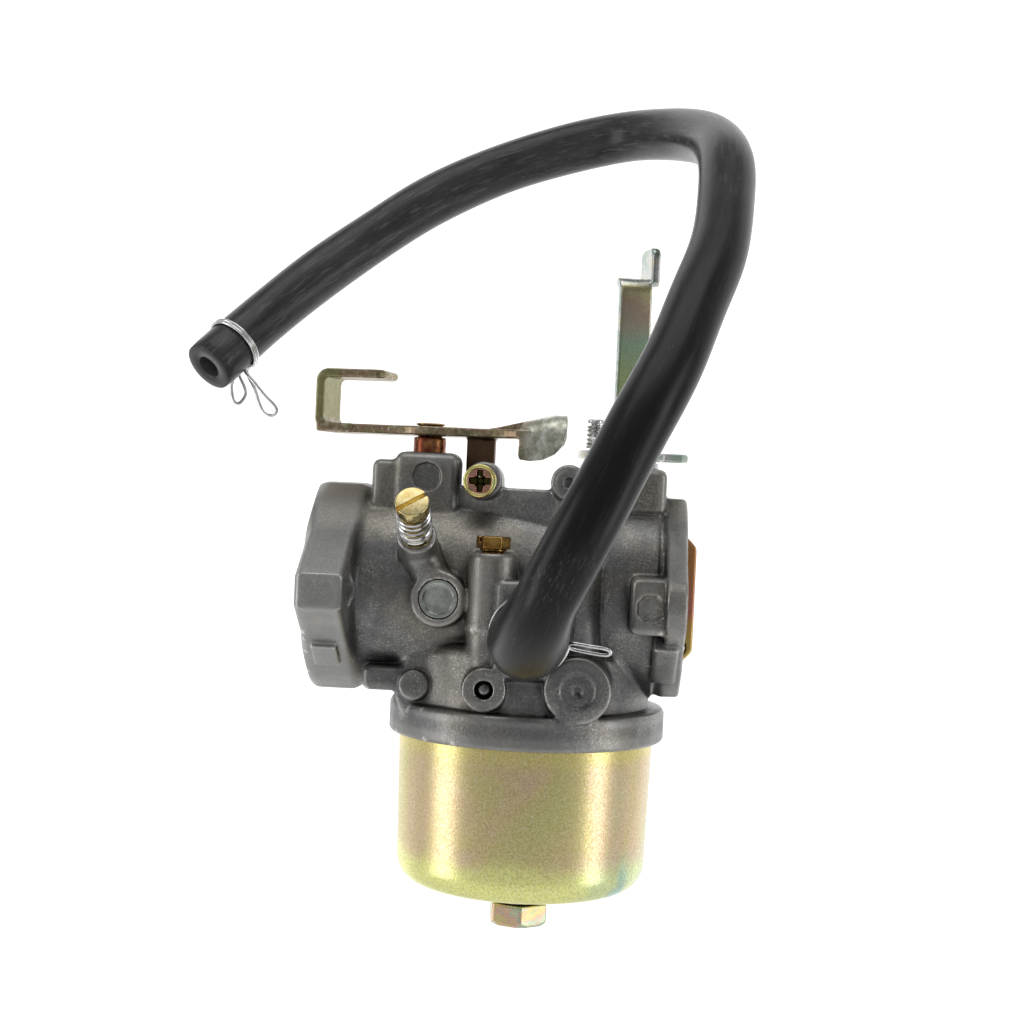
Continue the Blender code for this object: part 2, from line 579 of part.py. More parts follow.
def throttle_group():
    axis = pivot("throttle_axis", (THROTTLE_X, 0, 0), THROTTLE_REST_TURN)
    turn = THROTTLE_PLATE_TURN
    body = shaft(THROTTLE_SHAFT_BOTTOM, THROTTLE_LEVER_Z, THROTTLE_BORE_R + 0.4)
    plate = rod((-0.6, 0, 0), (0.6, 0, 0), THROTTLE_BORE_R - GAP, 32)
    for height in (-4.5, 4.5):
        cut(body, rod((-5, 0, height), (5, 0, height), 1.7, 16))
        cut(plate, rod((-5, 0, height), (5, 0, height), 1.7, 16))
    hang(named(body, "throttle_shaft", "bronze"), axis, turn)
    hang(named(plate, "throttle_plate", "brass"), axis, turn)
    for name, height in (("lower", -4.5), ("upper", 4.5)):
        screw = named(plate_screw(height), "throttle_plate_screw_" + name, "steel")
        hang(screw, axis, turn)
    hang(named(throttle_lever(), "throttle_lever", "zinc"), axis)


def choke_group():
    axis = pivot("choke_axis", (CHOKE_X, 0, 0), CHOKE_REST_TURN)
    turn = 90 - CHOKE_REST_TURN
    body = shaft(CHOKE_SHAFT_BOTTOM, CHOKE_LEVER_Z, CHOKE_BORE_R + 0.2)
    half_chord = sqrt(CHOKE_PLATE_R ** 2 - CHOKE_PLATE_FLAT ** 2)
    edge = [*arc((0, 0), CHOKE_PLATE_R, 33.2, 146.8, 14), *arc((0, 0), CHOKE_PLATE_R, 213.2, 326.8, 14)]
    edge = [(max(-CHOKE_PLATE_FLAT, min(CHOKE_PLATE_FLAT, u)), v) for u, v in edge]
    plate = sheet(edge, "x", -0.6, 0.6)
    for height in (-6.0, 6.0):
        cut(body, rod((-5, 0, height), (5, 0, height), 1.7, 16))
        cut(plate, rod((-5, 0, height), (5, 0, height), 1.7, 16))
    cut(plate, rod((-2, -half_chord + 0.5, -9), (2, -half_chord + 0.5, -9), 1.6, 16))
    hang(named(body, "choke_shaft", "steel"), axis, turn)
    hang(named(plate, "choke_plate", "bronze"), axis, turn)
    for name, height in (("lower", -6.0), ("upper", 6.0)):
        screw = named(plate_screw(height), "choke_plate_screw_" + name, "steel")
        hang(screw, axis, turn)
    hang(named(choke_lever(), "choke_lever", "zinc"), axis)
    washer = turned([(3.4, CHOKE_TOP_Z + 0.3), (4.4, CHOKE_TOP_Z + 0.3), (4.4, CHOKE_LEVER_Z - GAP),
                     (3.4, CHOKE_LEVER_Z - GAP)], (CHOKE_X, 0, 0), ring=True)
    named(washer, "choke_shaft_washer", "steel")


def friction_pieces():
    """The headed pin and spring that press on the choke lever and hold it where it is set."""
    pin = turned([(0.9, 16.7), (0.9, 31.6), (1.6, 31.6), (1.6, 32.1), (1.0, 32.5)], FRICTION_PIN, sides=16)
    named(pin, "choke_friction_pin", "steel")
    top = CHOKE_LEVER_Z + SHEET_T
    spring = coil((FRICTION_PIN.x, 0, top + 0.6), Z_AXIS, 1.47, 3.8, 5, 0.24)
    named(spring, "choke_friction_spring", "steel")


# ---------------------------------------------------------------- adjusting screws

def stop_screw():
    """Cross-slot idle stop screw; its tip meets the throttle lever's tab."""
    tip, seat, face = 2.1, 12.8, 15.2
    body = turned([(1.0, tip), (1.9, tip + 1), (1.9, seat), (3.0, seat), (3.0, face - 0.5), (2.5, face)],
                  axis=-Y_AXIS)
    for turn in (0, 90):
        slot = block((-1.9, -0.45, face - 1.1), (1.9, 0.45, face + 1))
        slot.matrix_world = facing((0, 0, 0), -Y_AXIS) @ Matrix.Rotation(radians(turn), 4, "Z")
        bpy.context.view_layer.update()
        cut(body, slot)
    body.location = STOP_SCREW * MM
    return named(body, "throttle_stop_screw", "zinc")


def mixture_pieces():
    """Needle screw with a slotted head, and the spring that keeps it from turning."""
    head = (8.6, 10.9)
    screw = turned([(0, -12.2), (1.9, -8.5), (1.9, head[0]), (3.05, head[0]), (3.05, head[1] - 0.3),
                    (2.8, head[1])])
    slot = block((-4, -0.5, head[1] - 1.1), (4, 0.5, head[1] + 1))
    slot.rotation_euler = (0, 0, radians(35))
    bpy.context.view_layer.update()
    cut(screw, slot)
    place = facing(MIXTURE_BASE * MM, MIXTURE_AXIS)
    screw.matrix_world = place
    named(screw, "mixture_screw", "brass")
    spring = coil(mixture_point(0.7), MIXTURE_AXIS, 2.6, 7.2, 5, 0.3)
    named(spring, "mixture_screw_spring", "steel")


# ---------------------------------------------------------------- hose and clips

def clip_wire(radius, tails, gap_turn, spread):
    """One closed wire, doubled round the hose, with a hairpin at each end.

    Drawn round local +Z with its opening at the angle gap_turn. The tails leave there, apart by
    spread, and are as long as tails says.
    """
    half = CLIP_PITCH / 2
    start, end = gap_turn + spread / 2, gap_turn + 360 - spread / 2

    def pair(turn, reach, out_turn, lift):
        base = Vector((radius * cos(radians(turn)), radius * sin(radians(turn)), 0))
        way = Vector((cos(radians(out_turn)), sin(radians(out_turn)), 0))
        return base + way * reach + Z_AXIS * lift

    def hairpin(turn, out_turn, reach, side):
        legs = [pair(turn, reach * f, out_turn, side * half) for f in (0.45, 0.85)]
        back = [pair(turn, reach * f, out_turn, -side * half) for f in (0.85, 0.45)]
        return [*legs, pair(turn, reach, out_turn, side * half * 0.5),
                pair(turn, reach, out_turn, -side * half * 0.5), *back]

    ring = [radians(start + (end - start) * i / 16) for i in range(17)]
    upper = [Vector((radius * cos(a), radius * sin(a), half)) for a in ring]
    lower = [Vector((radius * cos(a), radius * sin(a), -half)) for a in reversed(ring)]
    return [*upper, *hairpin(end, gap_turn - 24, tails[1], 1), *lower,
            *hairpin(start, gap_turn + 24, tails[0], -1)]


def hose_pieces():
    route = smooth_route(HOSE_ROUTE, 3)
    named(tube(route, HOSE_R, 2), "fuel_hose", "rubber")
    lower = clip_wire(6.9, (9.0, 6.0), 0, 34)
    place = facing((NIPPLE.x, -30.0, NIPPLE.z), -Y_AXIS)
    named(tube([place @ p for p in lower], CLIP_WIRE_R, 1, True), "lower_hose_clip", "steel")
    seat = Vector(HOSE_ROUTE[-2]).lerp(Vector(HOSE_ROUTE[-1]), 0.46)
    way = Vector(HOSE_ROUTE[-1]) - Vector(HOSE_ROUTE[-2])
    upper = clip_wire(HOSE_R + GAP + CLIP_WIRE_R + 0.1, (6.0, 9.0), -90, 34)
    place = facing(seat, way)
    named(tube([place @ p for p in upper], CLIP_WIRE_R, 1, True), "upper_hose_clip", "steel")


def build():
    clear_scene()
    carburetor_body()
    bowl_pieces()
    metering_pieces()
    float_pieces()
    inlet_pieces()
    throttle_group()
    choke_group()
    friction_pieces()
    stop_screw()
    mixture_pieces()
    hose_pieces()


build()
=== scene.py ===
from itertools import product
from math import atan2, cos, hypot, pi, radians, sin, sqrt

import bmesh
import bpy
import numpy as np
from mathutils import Matrix, Vector


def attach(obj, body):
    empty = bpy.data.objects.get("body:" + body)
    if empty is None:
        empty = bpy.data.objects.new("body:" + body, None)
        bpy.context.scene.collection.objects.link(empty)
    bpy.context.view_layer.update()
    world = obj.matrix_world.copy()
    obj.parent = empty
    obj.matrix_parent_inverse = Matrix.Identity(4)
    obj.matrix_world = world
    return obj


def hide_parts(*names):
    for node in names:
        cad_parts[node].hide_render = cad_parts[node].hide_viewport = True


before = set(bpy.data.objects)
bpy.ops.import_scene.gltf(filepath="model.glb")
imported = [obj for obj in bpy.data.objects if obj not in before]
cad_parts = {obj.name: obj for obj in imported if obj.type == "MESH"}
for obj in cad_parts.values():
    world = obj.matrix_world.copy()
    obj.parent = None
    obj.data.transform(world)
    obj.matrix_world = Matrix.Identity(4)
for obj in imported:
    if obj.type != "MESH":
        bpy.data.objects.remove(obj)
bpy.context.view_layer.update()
MM = 0.001
X_AXIS, Y_AXIS, Z_AXIS = Vector((1, 0, 0)), Vector((0, 1, 0)), Vector((0, 0, 1))
FAR = 50.0
CAST_VOXEL = 0.35

# the photograph's view, in mm, degrees and pixels
VIEW_TARGET, VIEW_DISTANCE = Vector((34.9, 0, 14.6)), 316.0
VIEW_AZIMUTH, VIEW_ELEVATION, VIEW_ROLL = 3.2, 0.8, 2.6
FOCAL_PX, IMAGE_PX, SENSOR_MM = 1708, 1024, 36

# places the CAD also uses, in mm
THROTTLE_X, CHOKE_X, BOWL_X, BOWL_R = 19.1, 57.2, 39.3, 23.3


# ------------------------------------------------------------------ camera

def make_camera():
    az, el, roll = radians(VIEW_AZIMUTH), radians(VIEW_ELEVATION), radians(VIEW_ROLL)
    back = Vector((sin(az) * cos(el), -cos(az) * cos(el), sin(el)))
    side = Vector((cos(az), sin(az), 0))
    up = back.cross(side)
    right = side * cos(roll) + up * sin(roll)
    top = up * cos(roll) - side * sin(roll)
    place = Matrix((right, top, back)).transposed().to_4x4()
    place.translation = (VIEW_TARGET + back * VIEW_DISTANCE) * MM
    data = bpy.data.cameras.new("camera")
    data.sensor_width = SENSOR_MM
    data.lens = SENSOR_MM * FOCAL_PX / IMAGE_PX
    data.clip_start, data.clip_end = 0.01, 10
    camera = bpy.data.objects.new("camera", data)
    camera.matrix_world = place
    bpy.context.scene.collection.objects.link(camera)
    bpy.context.scene.camera = camera


# ------------------------------------------------------------------ node materials

class Paint:
    """A small helper for a Principled material built from nodes."""

    def __init__(self, name, metallic=0.0, **constants):
        self.material = bpy.data.materials.new(name)
        self.material.use_nodes = True
        self.tree = self.material.node_tree
        self.shader = self.tree.nodes["Principled BSDF"]
        self.shader.inputs["Metallic"].default_value = metallic
        for key, value in constants.items():
            self.shader.inputs[key.replace("_", " ")].default_value = value
        self.coords = self.tree.nodes.new("ShaderNodeTexCoord").outputs["Object"]

    def node(self, kind, **settings):
        node = self.tree.nodes.new("ShaderNode" + kind)
        for key, value in settings.items():
            setattr(node, key, value)
        return node

    def put(self, socket, value):
        if isinstance(value, bpy.types.NodeSocket):
            self.tree.links.new(value, socket)
        else:
            socket.default_value = value

    def noise(self, per_mm, detail=3.0, roughness=0.5, stretch=(1, 1, 1), distortion=0.0, seed=0.0):
        node = self.node("TexNoise")
        node.inputs["Scale"].default_value = per_mm / MM
        node.inputs["Detail"].default_value = detail
        node.inputs["Roughness"].default_value = roughness
        node.inputs["Distortion"].default_value = distortion
        mapping = self.node("Mapping")
        mapping.inputs["Scale"].default_value = stretch
        mapping.inputs["Location"].default_value = (seed * MM, seed * 0.7 * MM, -seed * MM)
        self.tree.links.new(self.coords, mapping.inputs["Vector"])
        self.tree.links.new(mapping.outputs["Vector"], node.inputs["Vector"])
        return node.outputs["Fac"]

    def ramp(self, value, *stops):
        """stops are (position, colour or grey)."""
        node = self.node("ValToRGB")
        while len(node.color_ramp.elements) < len(stops):
            node.color_ramp.elements.new(0.5)
        for element, (position, colour) in zip(node.color_ramp.elements, stops):
            element.position = position
            grey = not isinstance(colour, tuple)
            element.color = (colour, colour, colour, 1) if grey else (*colour, 1)
        self.put(node.inputs["Fac"], value)
        return node.outputs["Color"]

    def mix(self, factor, a, b):
        node = self.node("Mix", data_type="RGBA")
        self.put(node.inputs["Factor"], factor)
        for socket, value in ((node.inputs[6], a), (node.inputs[7], b)):
            self.put(socket, (*value, 1) if isinstance(value, tuple) else value)
        return node.outputs[2]

    def math(self, how, *values):
        node = self.node("Math", operation=how)
        for socket, value in zip(node.inputs, values):
            self.put(socket, value)
        return node.outputs[0]

    def times(self, a, b):
        return self.math("MULTIPLY", a, b)

    def axis(self, which):
        """A coordinate in mm."""
        if not hasattr(self, "parts"):
            self.parts = self.node("SeparateXYZ")
            self.tree.links.new(self.coords, self.parts.inputs[0])
        return self.times(self.parts.outputs[which], 1 / MM)

    def span(self, value, low, high, a=0.0, b=1.0, how="SMOOTHSTEP"):
        node = self.node("MapRange", interpolation_type=how)
        for socket, number in zip(node.inputs, (value, low, high, a, b)):
            self.put(socket, number)
        return node.outputs[0]

    def worn(self, low=0.5, high=0.6):
        """Edges: 0 on flats and 1 on sharp outer edges."""
        return self.span(self.node("NewGeometry").outputs["Pointiness"], low, high)

    def colour(self, value):
        self.put(self.shader.inputs["Base Color"], value if not isinstance(value, tuple) else (*value, 1))
        return self

    def rough(self, value):
        self.put(self.shader.inputs["Roughness"], value)
        return self

    def bump(self, value, depth_mm, strength=1.0):
        node = self.node("Bump")
        node.inputs["Strength"].default_value = strength
        node.inputs["Distance"].default_value = depth_mm * MM
        self.put(node.inputs["Height"], value)
        if self.shader.inputs["Normal"].links:
            self.tree.links.new(self.shader.inputs["Normal"].links[0].from_socket, node.inputs["Normal"])
        self.tree.links.new(node.outputs["Normal"], self.shader.inputs["Normal"])
        return self


def cast_paint():
    """Satin die-cast metal with painted shade in its recesses and on the barrel's lower side, a flange painted
    lighter, and brighter, rubbed edges.
    """
    p = Paint("cast_metal", metallic=0.82)
    blotch = p.noise(0.11, 4, 0.6, distortion=0.6)
    warm = p.noise(0.06, 3, 0.55, seed=31)
    grain = p.noise(2.2, 2, 0.65)
    speck = p.noise(3.6, 2, 0.6, seed=7)
    point = p.node("NewGeometry").outputs["Pointiness"]
    cavity = p.node("Attribute", attribute_name="cavity").outputs["Fac"]
    base = p.ramp(blotch, (0.28, (0.15, 0.15, 0.152)), (0.5, (0.235, 0.235, 0.234)),
                  (0.72, (0.355, 0.352, 0.345)))
    base = p.mix(p.span(warm, 0.46, 0.62, 0, 0.55), base, (0.31, 0.28, 0.21))
    base = p.mix(p.span(grain, 0.40, 0.60, 0.42, 0.0), base, (0.10, 0.098, 0.092))
    base = p.mix(p.span(cavity, 0.47, 0.36, 0, 0.35), base, (0.46, 0.455, 0.44))
    z = p.axis(2)
    # painted shade: darker on the lower side of the barrel, between z -17 and -5 mm
    lower_barrel_shade = p.times(p.span(z, -18.8, -17.0), p.span(z, -5.0, -9.0, 0.0, 0.36))
    base = p.mix(lower_barrel_shade, base, (0.085, 0.084, 0.082))
    # painted light: the flange, below x 9 mm, is lighter
    base = p.mix(p.span(p.axis(0), 9.0, 7.0, 0.0, 0.45), base, (0.52, 0.52, 0.505))
    glint = p.times(p.span(speck, 0.56, 0.70), p.span(blotch, 0.42, 0.62, 0.08, 0.55))
    base = p.mix(glint, base, (0.80, 0.77, 0.70))
    edge = p.times(p.span(point, 0.515, 0.59), p.span(speck, 0.38, 0.55, 0.45, 1.0))
    base = p.mix(edge, base, (0.72, 0.70, 0.66))
    # painted shade: the recesses, where the cavity attribute is high, go nearly black
    base = p.mix(p.span(cavity, 0.52, 0.72, 0.0, 0.78), base, (0.038, 0.037, 0.035))
    p.colour(base)
    rough = p.ramp(blotch, (0.3, 0.44), (0.7, 0.33))
    p.rough(p.math("SUBTRACT", rough, p.times(edge, 0.08)))
    p.bump(grain, 0.09, 0.4).bump(p.noise(0.5, 3, 0.6, seed=3), 0.18, 0.35)
    return p.material


def film_metal(film, rough, wear=(0.88, 0.86, 0.78), worn=(0.53, 0.62), seed=0.0):
    """Finish a passivated sheet: fine dark grain over a film colour, and bright worn edges."""
    p, hue = film
    pale = p.noise(0.16, 3, 0.6, seed=seed + 9)
    grain = p.noise(3.5, 2, 0.6, seed=seed)
    hue = p.mix(p.span(grain, 0.3, 0.7, 0.0, 0.3), hue, (0.22, 0.18, 0.09))
    patchy = p.times(p.worn(*worn), p.span(p.noise(0.8, 3, 0.7, seed=seed + 4), 0.42, 0.58))
    p.colour(p.mix(patchy, hue, wear))
    p.rough(p.ramp(pale, (0.3, rough), (0.8, rough + 0.14)))
    p.bump(grain, 0.03, 0.4)
    return p.material


def bolt_paint():
    p = Paint("bolt_zinc", metallic=0.95)
    hue = p.ramp(p.noise(0.2, 3, 0.55, distortion=1.2, seed=41), (0.30, (0.56, 0.62, 0.42)),
                 (0.40, (0.76, 0.66, 0.30)),
                 (0.48, (0.78, 0.60, 0.32)), (0.56, (0.80, 0.52, 0.42)), (0.64, (0.52, 0.66, 0.46)),
                 (0.74, (0.78, 0.70, 0.40)))
    return film_metal((p, hue), 0.22, seed=41)


def lever_paint():
    """Olive and brown film, greener inside the hook, silvery on the finger tab and dark on the stop tab."""
    p = Paint("lever_zinc", metallic=0.92)
    x, z = p.axis(0), p.axis(2)
    drift = p.noise(0.13, 4, 0.6, distortion=1.0, seed=2)
    hue = p.ramp(drift, (0.36, (0.19, 0.19, 0.09)), (0.46, (0.33, 0.27, 0.15)), (0.54, (0.36, 0.24, 0.17)),
                 (0.64, (0.24, 0.27, 0.13)))
    fleck = p.noise(0.9, 4, 0.75, seed=6)
    hue = p.mix(p.span(fleck, 0.50, 0.62, 0, 0.7), hue, (0.60, 0.55, 0.40))
    hue = p.mix(p.span(fleck, 0.44, 0.34, 0, 0.7), hue, (0.10, 0.06, 0.035))
    mottle = p.ramp(p.noise(0.6, 4, 0.7, seed=5), (0.38, (0.42, 0.43, 0.34)), (0.54, (0.72, 0.73, 0.63)),
                    (0.64, (0.92, 0.92, 0.86)))
    hue = p.mix(p.span(x, 35, 39.5), hue, mottle)
    tab = p.times(p.span(z, 27.5, 28.1, 1.0, 0.0), p.span(x, 33.0, 34.0, 1.0, 0.0))
    hue = p.mix(tab, hue, (0.12, 0.062, 0.038))
    hook = p.times(p.span(x, 1.4, 2.4, 1.0, 0.0), p.span(z, 30.5, 31.0))
    hue = p.mix(p.times(hook, 0.6), hue, (0.29, 0.30, 0.12))
    return film_metal((p, hue), 0.3, (0.62, 0.61, 0.55), (0.60, 0.80), seed=2)


def choke_paint():
    """Silver sheet that kept a green and pink film on the arm's front. u and v follow the lever at rest."""
    p = Paint("choke_zinc", metallic=0.96)
    x, y, z = p.math("SUBTRACT", p.axis(0), CHOKE_X), p.axis(1), p.axis(2)
    c, k = cos(radians(15)), sin(radians(15))
    u = p.math("ABSOLUTE", p.math("ADD", p.times(x, c), p.times(y, k)))
    v = p.math("SUBTRACT", p.times(y, c), p.times(x, k))
    front = p.times(p.span(v, 4.6, 5.1, 1, 0), p.span(u, 2.65, 2.95, 1, 0))
    front = p.times(front, p.times(p.span(z, 26.8, 28.5), p.span(z, 57.0, 59.0, 1, 0)))
    height = p.math("ADD", z, p.times(p.noise(0.12, 3, 0.6, seed=23), 8.0))
    # film hue by height; its bright gold at the arm's top is partly film colour and partly painted highlight
    film = p.ramp(p.span(height, 33, 66, how="LINEAR"), (0.0, (0.50, 0.57, 0.22)), (0.34, (0.50, 0.62, 0.30)),
                  (0.55, (0.45, 0.64, 0.46)), (0.74, (0.66, 0.50, 0.40)), (0.86, (0.90, 0.82, 0.46)))
    bare = p.ramp(p.noise(0.3, 3, 0.6, seed=8), (0.40, (0.48, 0.60, 0.52)), (0.55, (0.74, 0.76, 0.75)),
                  (0.66, (0.80, 0.76, 0.62)))
    hue = p.mix(front, bare, film)
    return film_metal((p, hue), 0.22, (0.92, 0.92, 0.90), (0.53, 0.62), seed=23)


def bowl_paint():
    p = Paint("bowl_zinc", metallic=0.96)
    x = p.math("SUBTRACT", p.axis(0), BOWL_X)
    z = p.axis(2)
    side = p.math("DIVIDE", x, BOWL_R)
    drift = p.noise(0.045, 3, 0.55, stretch=(1, 1, 0.6), distortion=0.8, seed=4)
    base = p.ramp(drift, (0.34, (0.70, 0.66, 0.28)), (0.46, (0.76, 0.64, 0.30)), (0.54, (0.80, 0.60, 0.38)),
                  (0.63, (0.72, 0.68, 0.38)))
    low = p.math("ADD", z, p.times(drift, 9.0))
    # painted reflection: a bright yellow-green band round the bowl's lower corner
    base = p.mix(p.span(low, -44.5, -40.5, 1.0, 0.0), base, (0.95, 0.97, 0.36))
    teal = p.times(p.span(low, -45.5, -37.5, 1.0, 0.0), p.span(side, 0.35, 0.8))
    base = p.mix(p.times(teal, p.span(drift, 0.40, 0.56, 1.0, 0.35)), base, (0.42, 0.68, 0.60))
    top = p.math("ADD", z, p.times(p.noise(0.1, 2, seed=2), 5.0))
    base = p.mix(p.span(top, -27.5, -24.5, 0.0, 0.8), base, (0.86, 0.74, 0.26))
    grain = p.noise(2.7, 2, 0.7)
    base = p.mix(p.span(grain, 0.42, 0.62, 0.0, 0.38), base, (0.36, 0.28, 0.12))
    base = p.mix(p.span(p.noise(3.2, 1, seed=8), 0.54, 0.68, 0.0, 0.35), base, (1.0, 0.96, 0.76))
    p.colour(base)
    p.rough(p.ramp(grain, (0.3, 0.24), (0.7, 0.34)))
    p.bump(grain, 0.04, 0.45)
    return p.material


def metal_paint(name, dark, light, rough, metallic=1.0, wear=None):
    p = Paint(name, metallic=metallic)
    cloud = p.noise(0.5, 3, 0.6, seed=5)
    grain = p.noise(2.0, 3, 0.6)
    hue = p.mix(p.span(cloud, 0.35, 0.65), dark, light)
    if wear:
        hue = p.mix(p.worn(0.52, 0.60), hue, wear)
    p.colour(hue)
    p.rough(p.span(grain, 0.3, 0.7, *rough))
    p.bump(grain, 0.02, 0.4)
    return p.material


def screw_paint():
    """A gold-green rim round a recess that kept a purple-brown film, with painted shade deep in the cross."""
    p = Paint("screw_zinc", metallic=1.0)
    film = p.noise(0.35, 2, 0.5, distortion=1.0, seed=12)
    rim = p.ramp(film, (0.38, (0.86, 0.80, 0.30)), (0.52, (0.94, 0.72, 0.30)), (0.64, (0.66, 0.78, 0.36)))
    well = p.ramp(film, (0.42, (0.52, 0.24, 0.23)), (0.60, (0.36, 0.20, 0.11)))
    base = p.mix(p.span(p.axis(1), -15.0, -14.75), rim, well)
    # painted shade: the cross recess turns near black deeper than y -14.7 mm
    base = p.mix(p.span(p.axis(1), -14.7, -14.1), base, (0.055, 0.045, 0.015))
    p.colour(p.mix(p.worn(0.54, 0.64), base, (0.9, 0.8, 0.5)))
    p.rough(p.span(p.noise(2.5, 2, seed=4), 0.3, 0.7, 0.16, 0.30))
    p.bump(p.noise(3.0, 2), 0.02, 0.3)
    return p.material


def choke_plate_paint():
    p = Paint("choke_plate_film", metallic=1.0)
    height = p.math("ADD", p.axis(2), p.times(p.noise(0.12, 3, 0.6), 8.0))
    base = p.ramp(p.span(height, -12, 16), (0.1, (0.66, 0.50, 0.16)), (0.38, (0.60, 0.34, 0.12)),
                  (0.55, (0.55, 0.22, 0.16)), (0.9, (0.50, 0.24, 0.10)))
    p.colour(p.mix(p.worn(0.53, 0.62), base, (0.85, 0.7, 0.4)))
    p.rough(p.span(p.noise(1.5, 3, 0.6), 0.3, 0.7, 0.25, 0.4))
    p.bump(p.noise(2.5, 2), 0.02, 0.4)
    return p.material


def rubber_paint():
    """Black and glossy where it is handled at the front; greyer toward its free end, partly dust and partly
    painted light, with pale streaks that are partly painted highlight.
    """
    p = Paint("hose_rubber", Specular_IOR_Level=0.30)
    # partly dust, partly painted light: the hose turns greyer toward its free end
    dust_and_light = p.span(p.axis(1), -36, 2)
    low = p.times(p.span(p.axis(2), 13, 7), p.span(p.axis(2), -3, 3))
    low_front = p.times(p.span(p.axis(1), -46, -53), low)
    p.coords = p.node("Attribute", attribute_name="run").outputs["Vector"]
    dust = p.noise(0.3, 4, 0.65, stretch=(0.3, 1, 1))
    streak = p.noise(1.6, 3, 0.75, stretch=(0.10, 1, 1), seed=19)
    fine = p.noise(2.2, 3, 0.7, stretch=(0.6, 1, 1), seed=3)
    scuff = p.noise(0.9, 3, 0.75, stretch=(0.5, 1, 1), seed=11)
    scratch = p.noise(3.2, 3, 0.8, stretch=(0.25, 1, 1), seed=27)
    black = p.ramp(dust, (0.35, (0.0035, 0.0035, 0.0038)), (0.7, (0.008, 0.008, 0.009)))
    grey = p.ramp(dust, (0.3, (0.030, 0.030, 0.031)), (0.7, (0.060, 0.060, 0.062)))
    base = p.mix(dust_and_light, black, grey)
    # partly dust marks, partly painted highlight: pale streaks along the hose, stronger toward its free end
    streaks_and_sheen = p.times(p.span(streak, 0.52, 0.66), p.math("ADD", p.times(dust_and_light, 0.32), 0.05))
    base = p.mix(streaks_and_sheen, base, (0.19, 0.19, 0.195))
    marks = p.times(p.span(scuff, 0.62, 0.76), p.span(fine, 0.45, 0.6))
    marks = p.math("MAXIMUM", marks, p.times(low_front, p.span(scratch, 0.54, 0.66)))
    base = p.mix(p.times(marks, 0.38), base, (0.13, 0.13, 0.145))
    p.colour(base)
    p.rough(p.math("SUBTRACT", p.ramp(dust, (0.35, 0.27), (0.7, 0.36)), p.times(dust_and_light, 0.05)))
    p.bump(fine, 0.04, 0.25).bump(dust, 0.2, 0.15)
    return p.material


PAINTS = {}


def make_paints():
    PAINTS.update(
        cast=cast_paint(), bowl=bowl_paint(),
        lever=lever_paint(), choke=choke_paint(), bolt=bolt_paint(),
        screw=screw_paint(),
        bronze=metal_paint("brown_passivate", (0.20, 0.05, 0.03), (0.42, 0.20, 0.08), (0.22, 0.34),
                           wear=(0.8, 0.6, 0.3)),
        brass=metal_paint("turned_brass", (0.70, 0.54, 0.22), (0.90, 0.77, 0.42), (0.16, 0.3)),
        jet=metal_paint("dull_brass", (0.26, 0.13, 0.03), (0.46, 0.28, 0.08), (0.2, 0.34),
                        wear=(0.75, 0.5, 0.2)),
        steel=metal_paint("bright_steel", (0.66, 0.66, 0.66), (0.88, 0.88, 0.88), (0.14, 0.26)),
        plug=metal_paint("plug_steel", (0.36, 0.375, 0.35), (0.56, 0.57, 0.53), (0.22, 0.34)),
        ball=metal_paint("ball_steel", (0.16, 0.16, 0.16), (0.34, 0.34, 0.33), (0.12, 0.2)),
        rubber=rubber_paint(),
        chokeplate=choke_plate_paint(),
        plastic=metal_paint("black_plastic", (0.02, 0.02, 0.02), (0.05, 0.05, 0.05), (0.4, 0.55),
                            metallic=0.0))


# ------------------------------------------------------------------ pieces from meshes

def piece(name, mesh, paint, body, replaces=(), smooth=40):
    obj = bpy.data.objects.new(name, mesh)
    bpy.context.scene.collection.objects.link(obj)
    mesh.materials.clear()
    mesh.materials.append(PAINTS[paint])
    mesh.shade_smooth()
    if smooth:
        mesh.set_sharp_from_angle(angle=radians(smooth))
    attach(obj, body)
    if replaces:
        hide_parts(*replaces)
    return obj


def finish_mesh(bm, place=None):
    if place is not None:
        bm.transform(place)
    bmesh.ops.scale(bm, vec=(MM, MM, MM), verts=bm.verts)
    bmesh.ops.recalc_face_normals(bm, faces=bm.faces)
    mesh = bpy.data.meshes.new("made")
    bm.to_mesh(mesh)
    bm.free()
    return mesh


def facing(at, axis):
    return Matrix.Translation(at) @ Vector(axis).to_track_quat("Z", "Y").to_matrix().to_4x4()


def rounded(profile, radius, steps=4):
    """The profile with its inner corners rounded; radius is one number or one for each corner."""
    points = [Vector(p) for p in profile]
    radii = radius if isinstance(radius, (list, tuple)) else [radius] * len(points)
    out = [points[0]]
    for i in range(1, len(points) - 1):
        a, b, c = points[i - 1], points[i], points[i + 1]
        reach = min(radii[i], (a - b).length * 0.48, (c - b).length * 0.48)
        start, end = b + (a - b).normalized() * reach, b + (c - b).normalized() * reach
        for k in range(steps + 1):
            t = k / steps
            out.append(start * (1 - t) ** 2 + b * 2 * t * (1 - t) + end * t ** 2)
    return [tuple(p) for p in (*out, points[-1])]


def turned(profile, at=(0, 0, 0), axis=(0, 0, 1), sides=64, ring=False, bm=None):
    own = bm is None
    bm = bmesh.new() if own else bm
    place = facing(Vector(at), axis)
    rows = []
    for radius, height in profile:
        count = sides if radius > 1e-6 else 1
        turns = [2 * pi * (i + 0.5) / sides for i in range(count)]
        rows.append([bm.verts.new(place @ Vector((radius * cos(a), radius * sin(a), height))) for a in turns])
    pairs = list(zip(rows, rows[1:]))
    if ring:
        pairs.append((rows[-1], rows[0]))
    for low, high in pairs:
        for i in range(sides):
            j = (i + 1) % sides
            quad = (low[i % len(low)], low[j % len(low)], high[j % len(high)], high[i % len(high)])
            corners = list(dict.fromkeys(quad))
            if len(corners) > 2:
                bm.faces.new(corners)
    if not ring:
        for row in (rows[0], rows[-1]):
            if len(row) > 2:
                bm.faces.new(row)
    return finish_mesh(bm) if own else bm


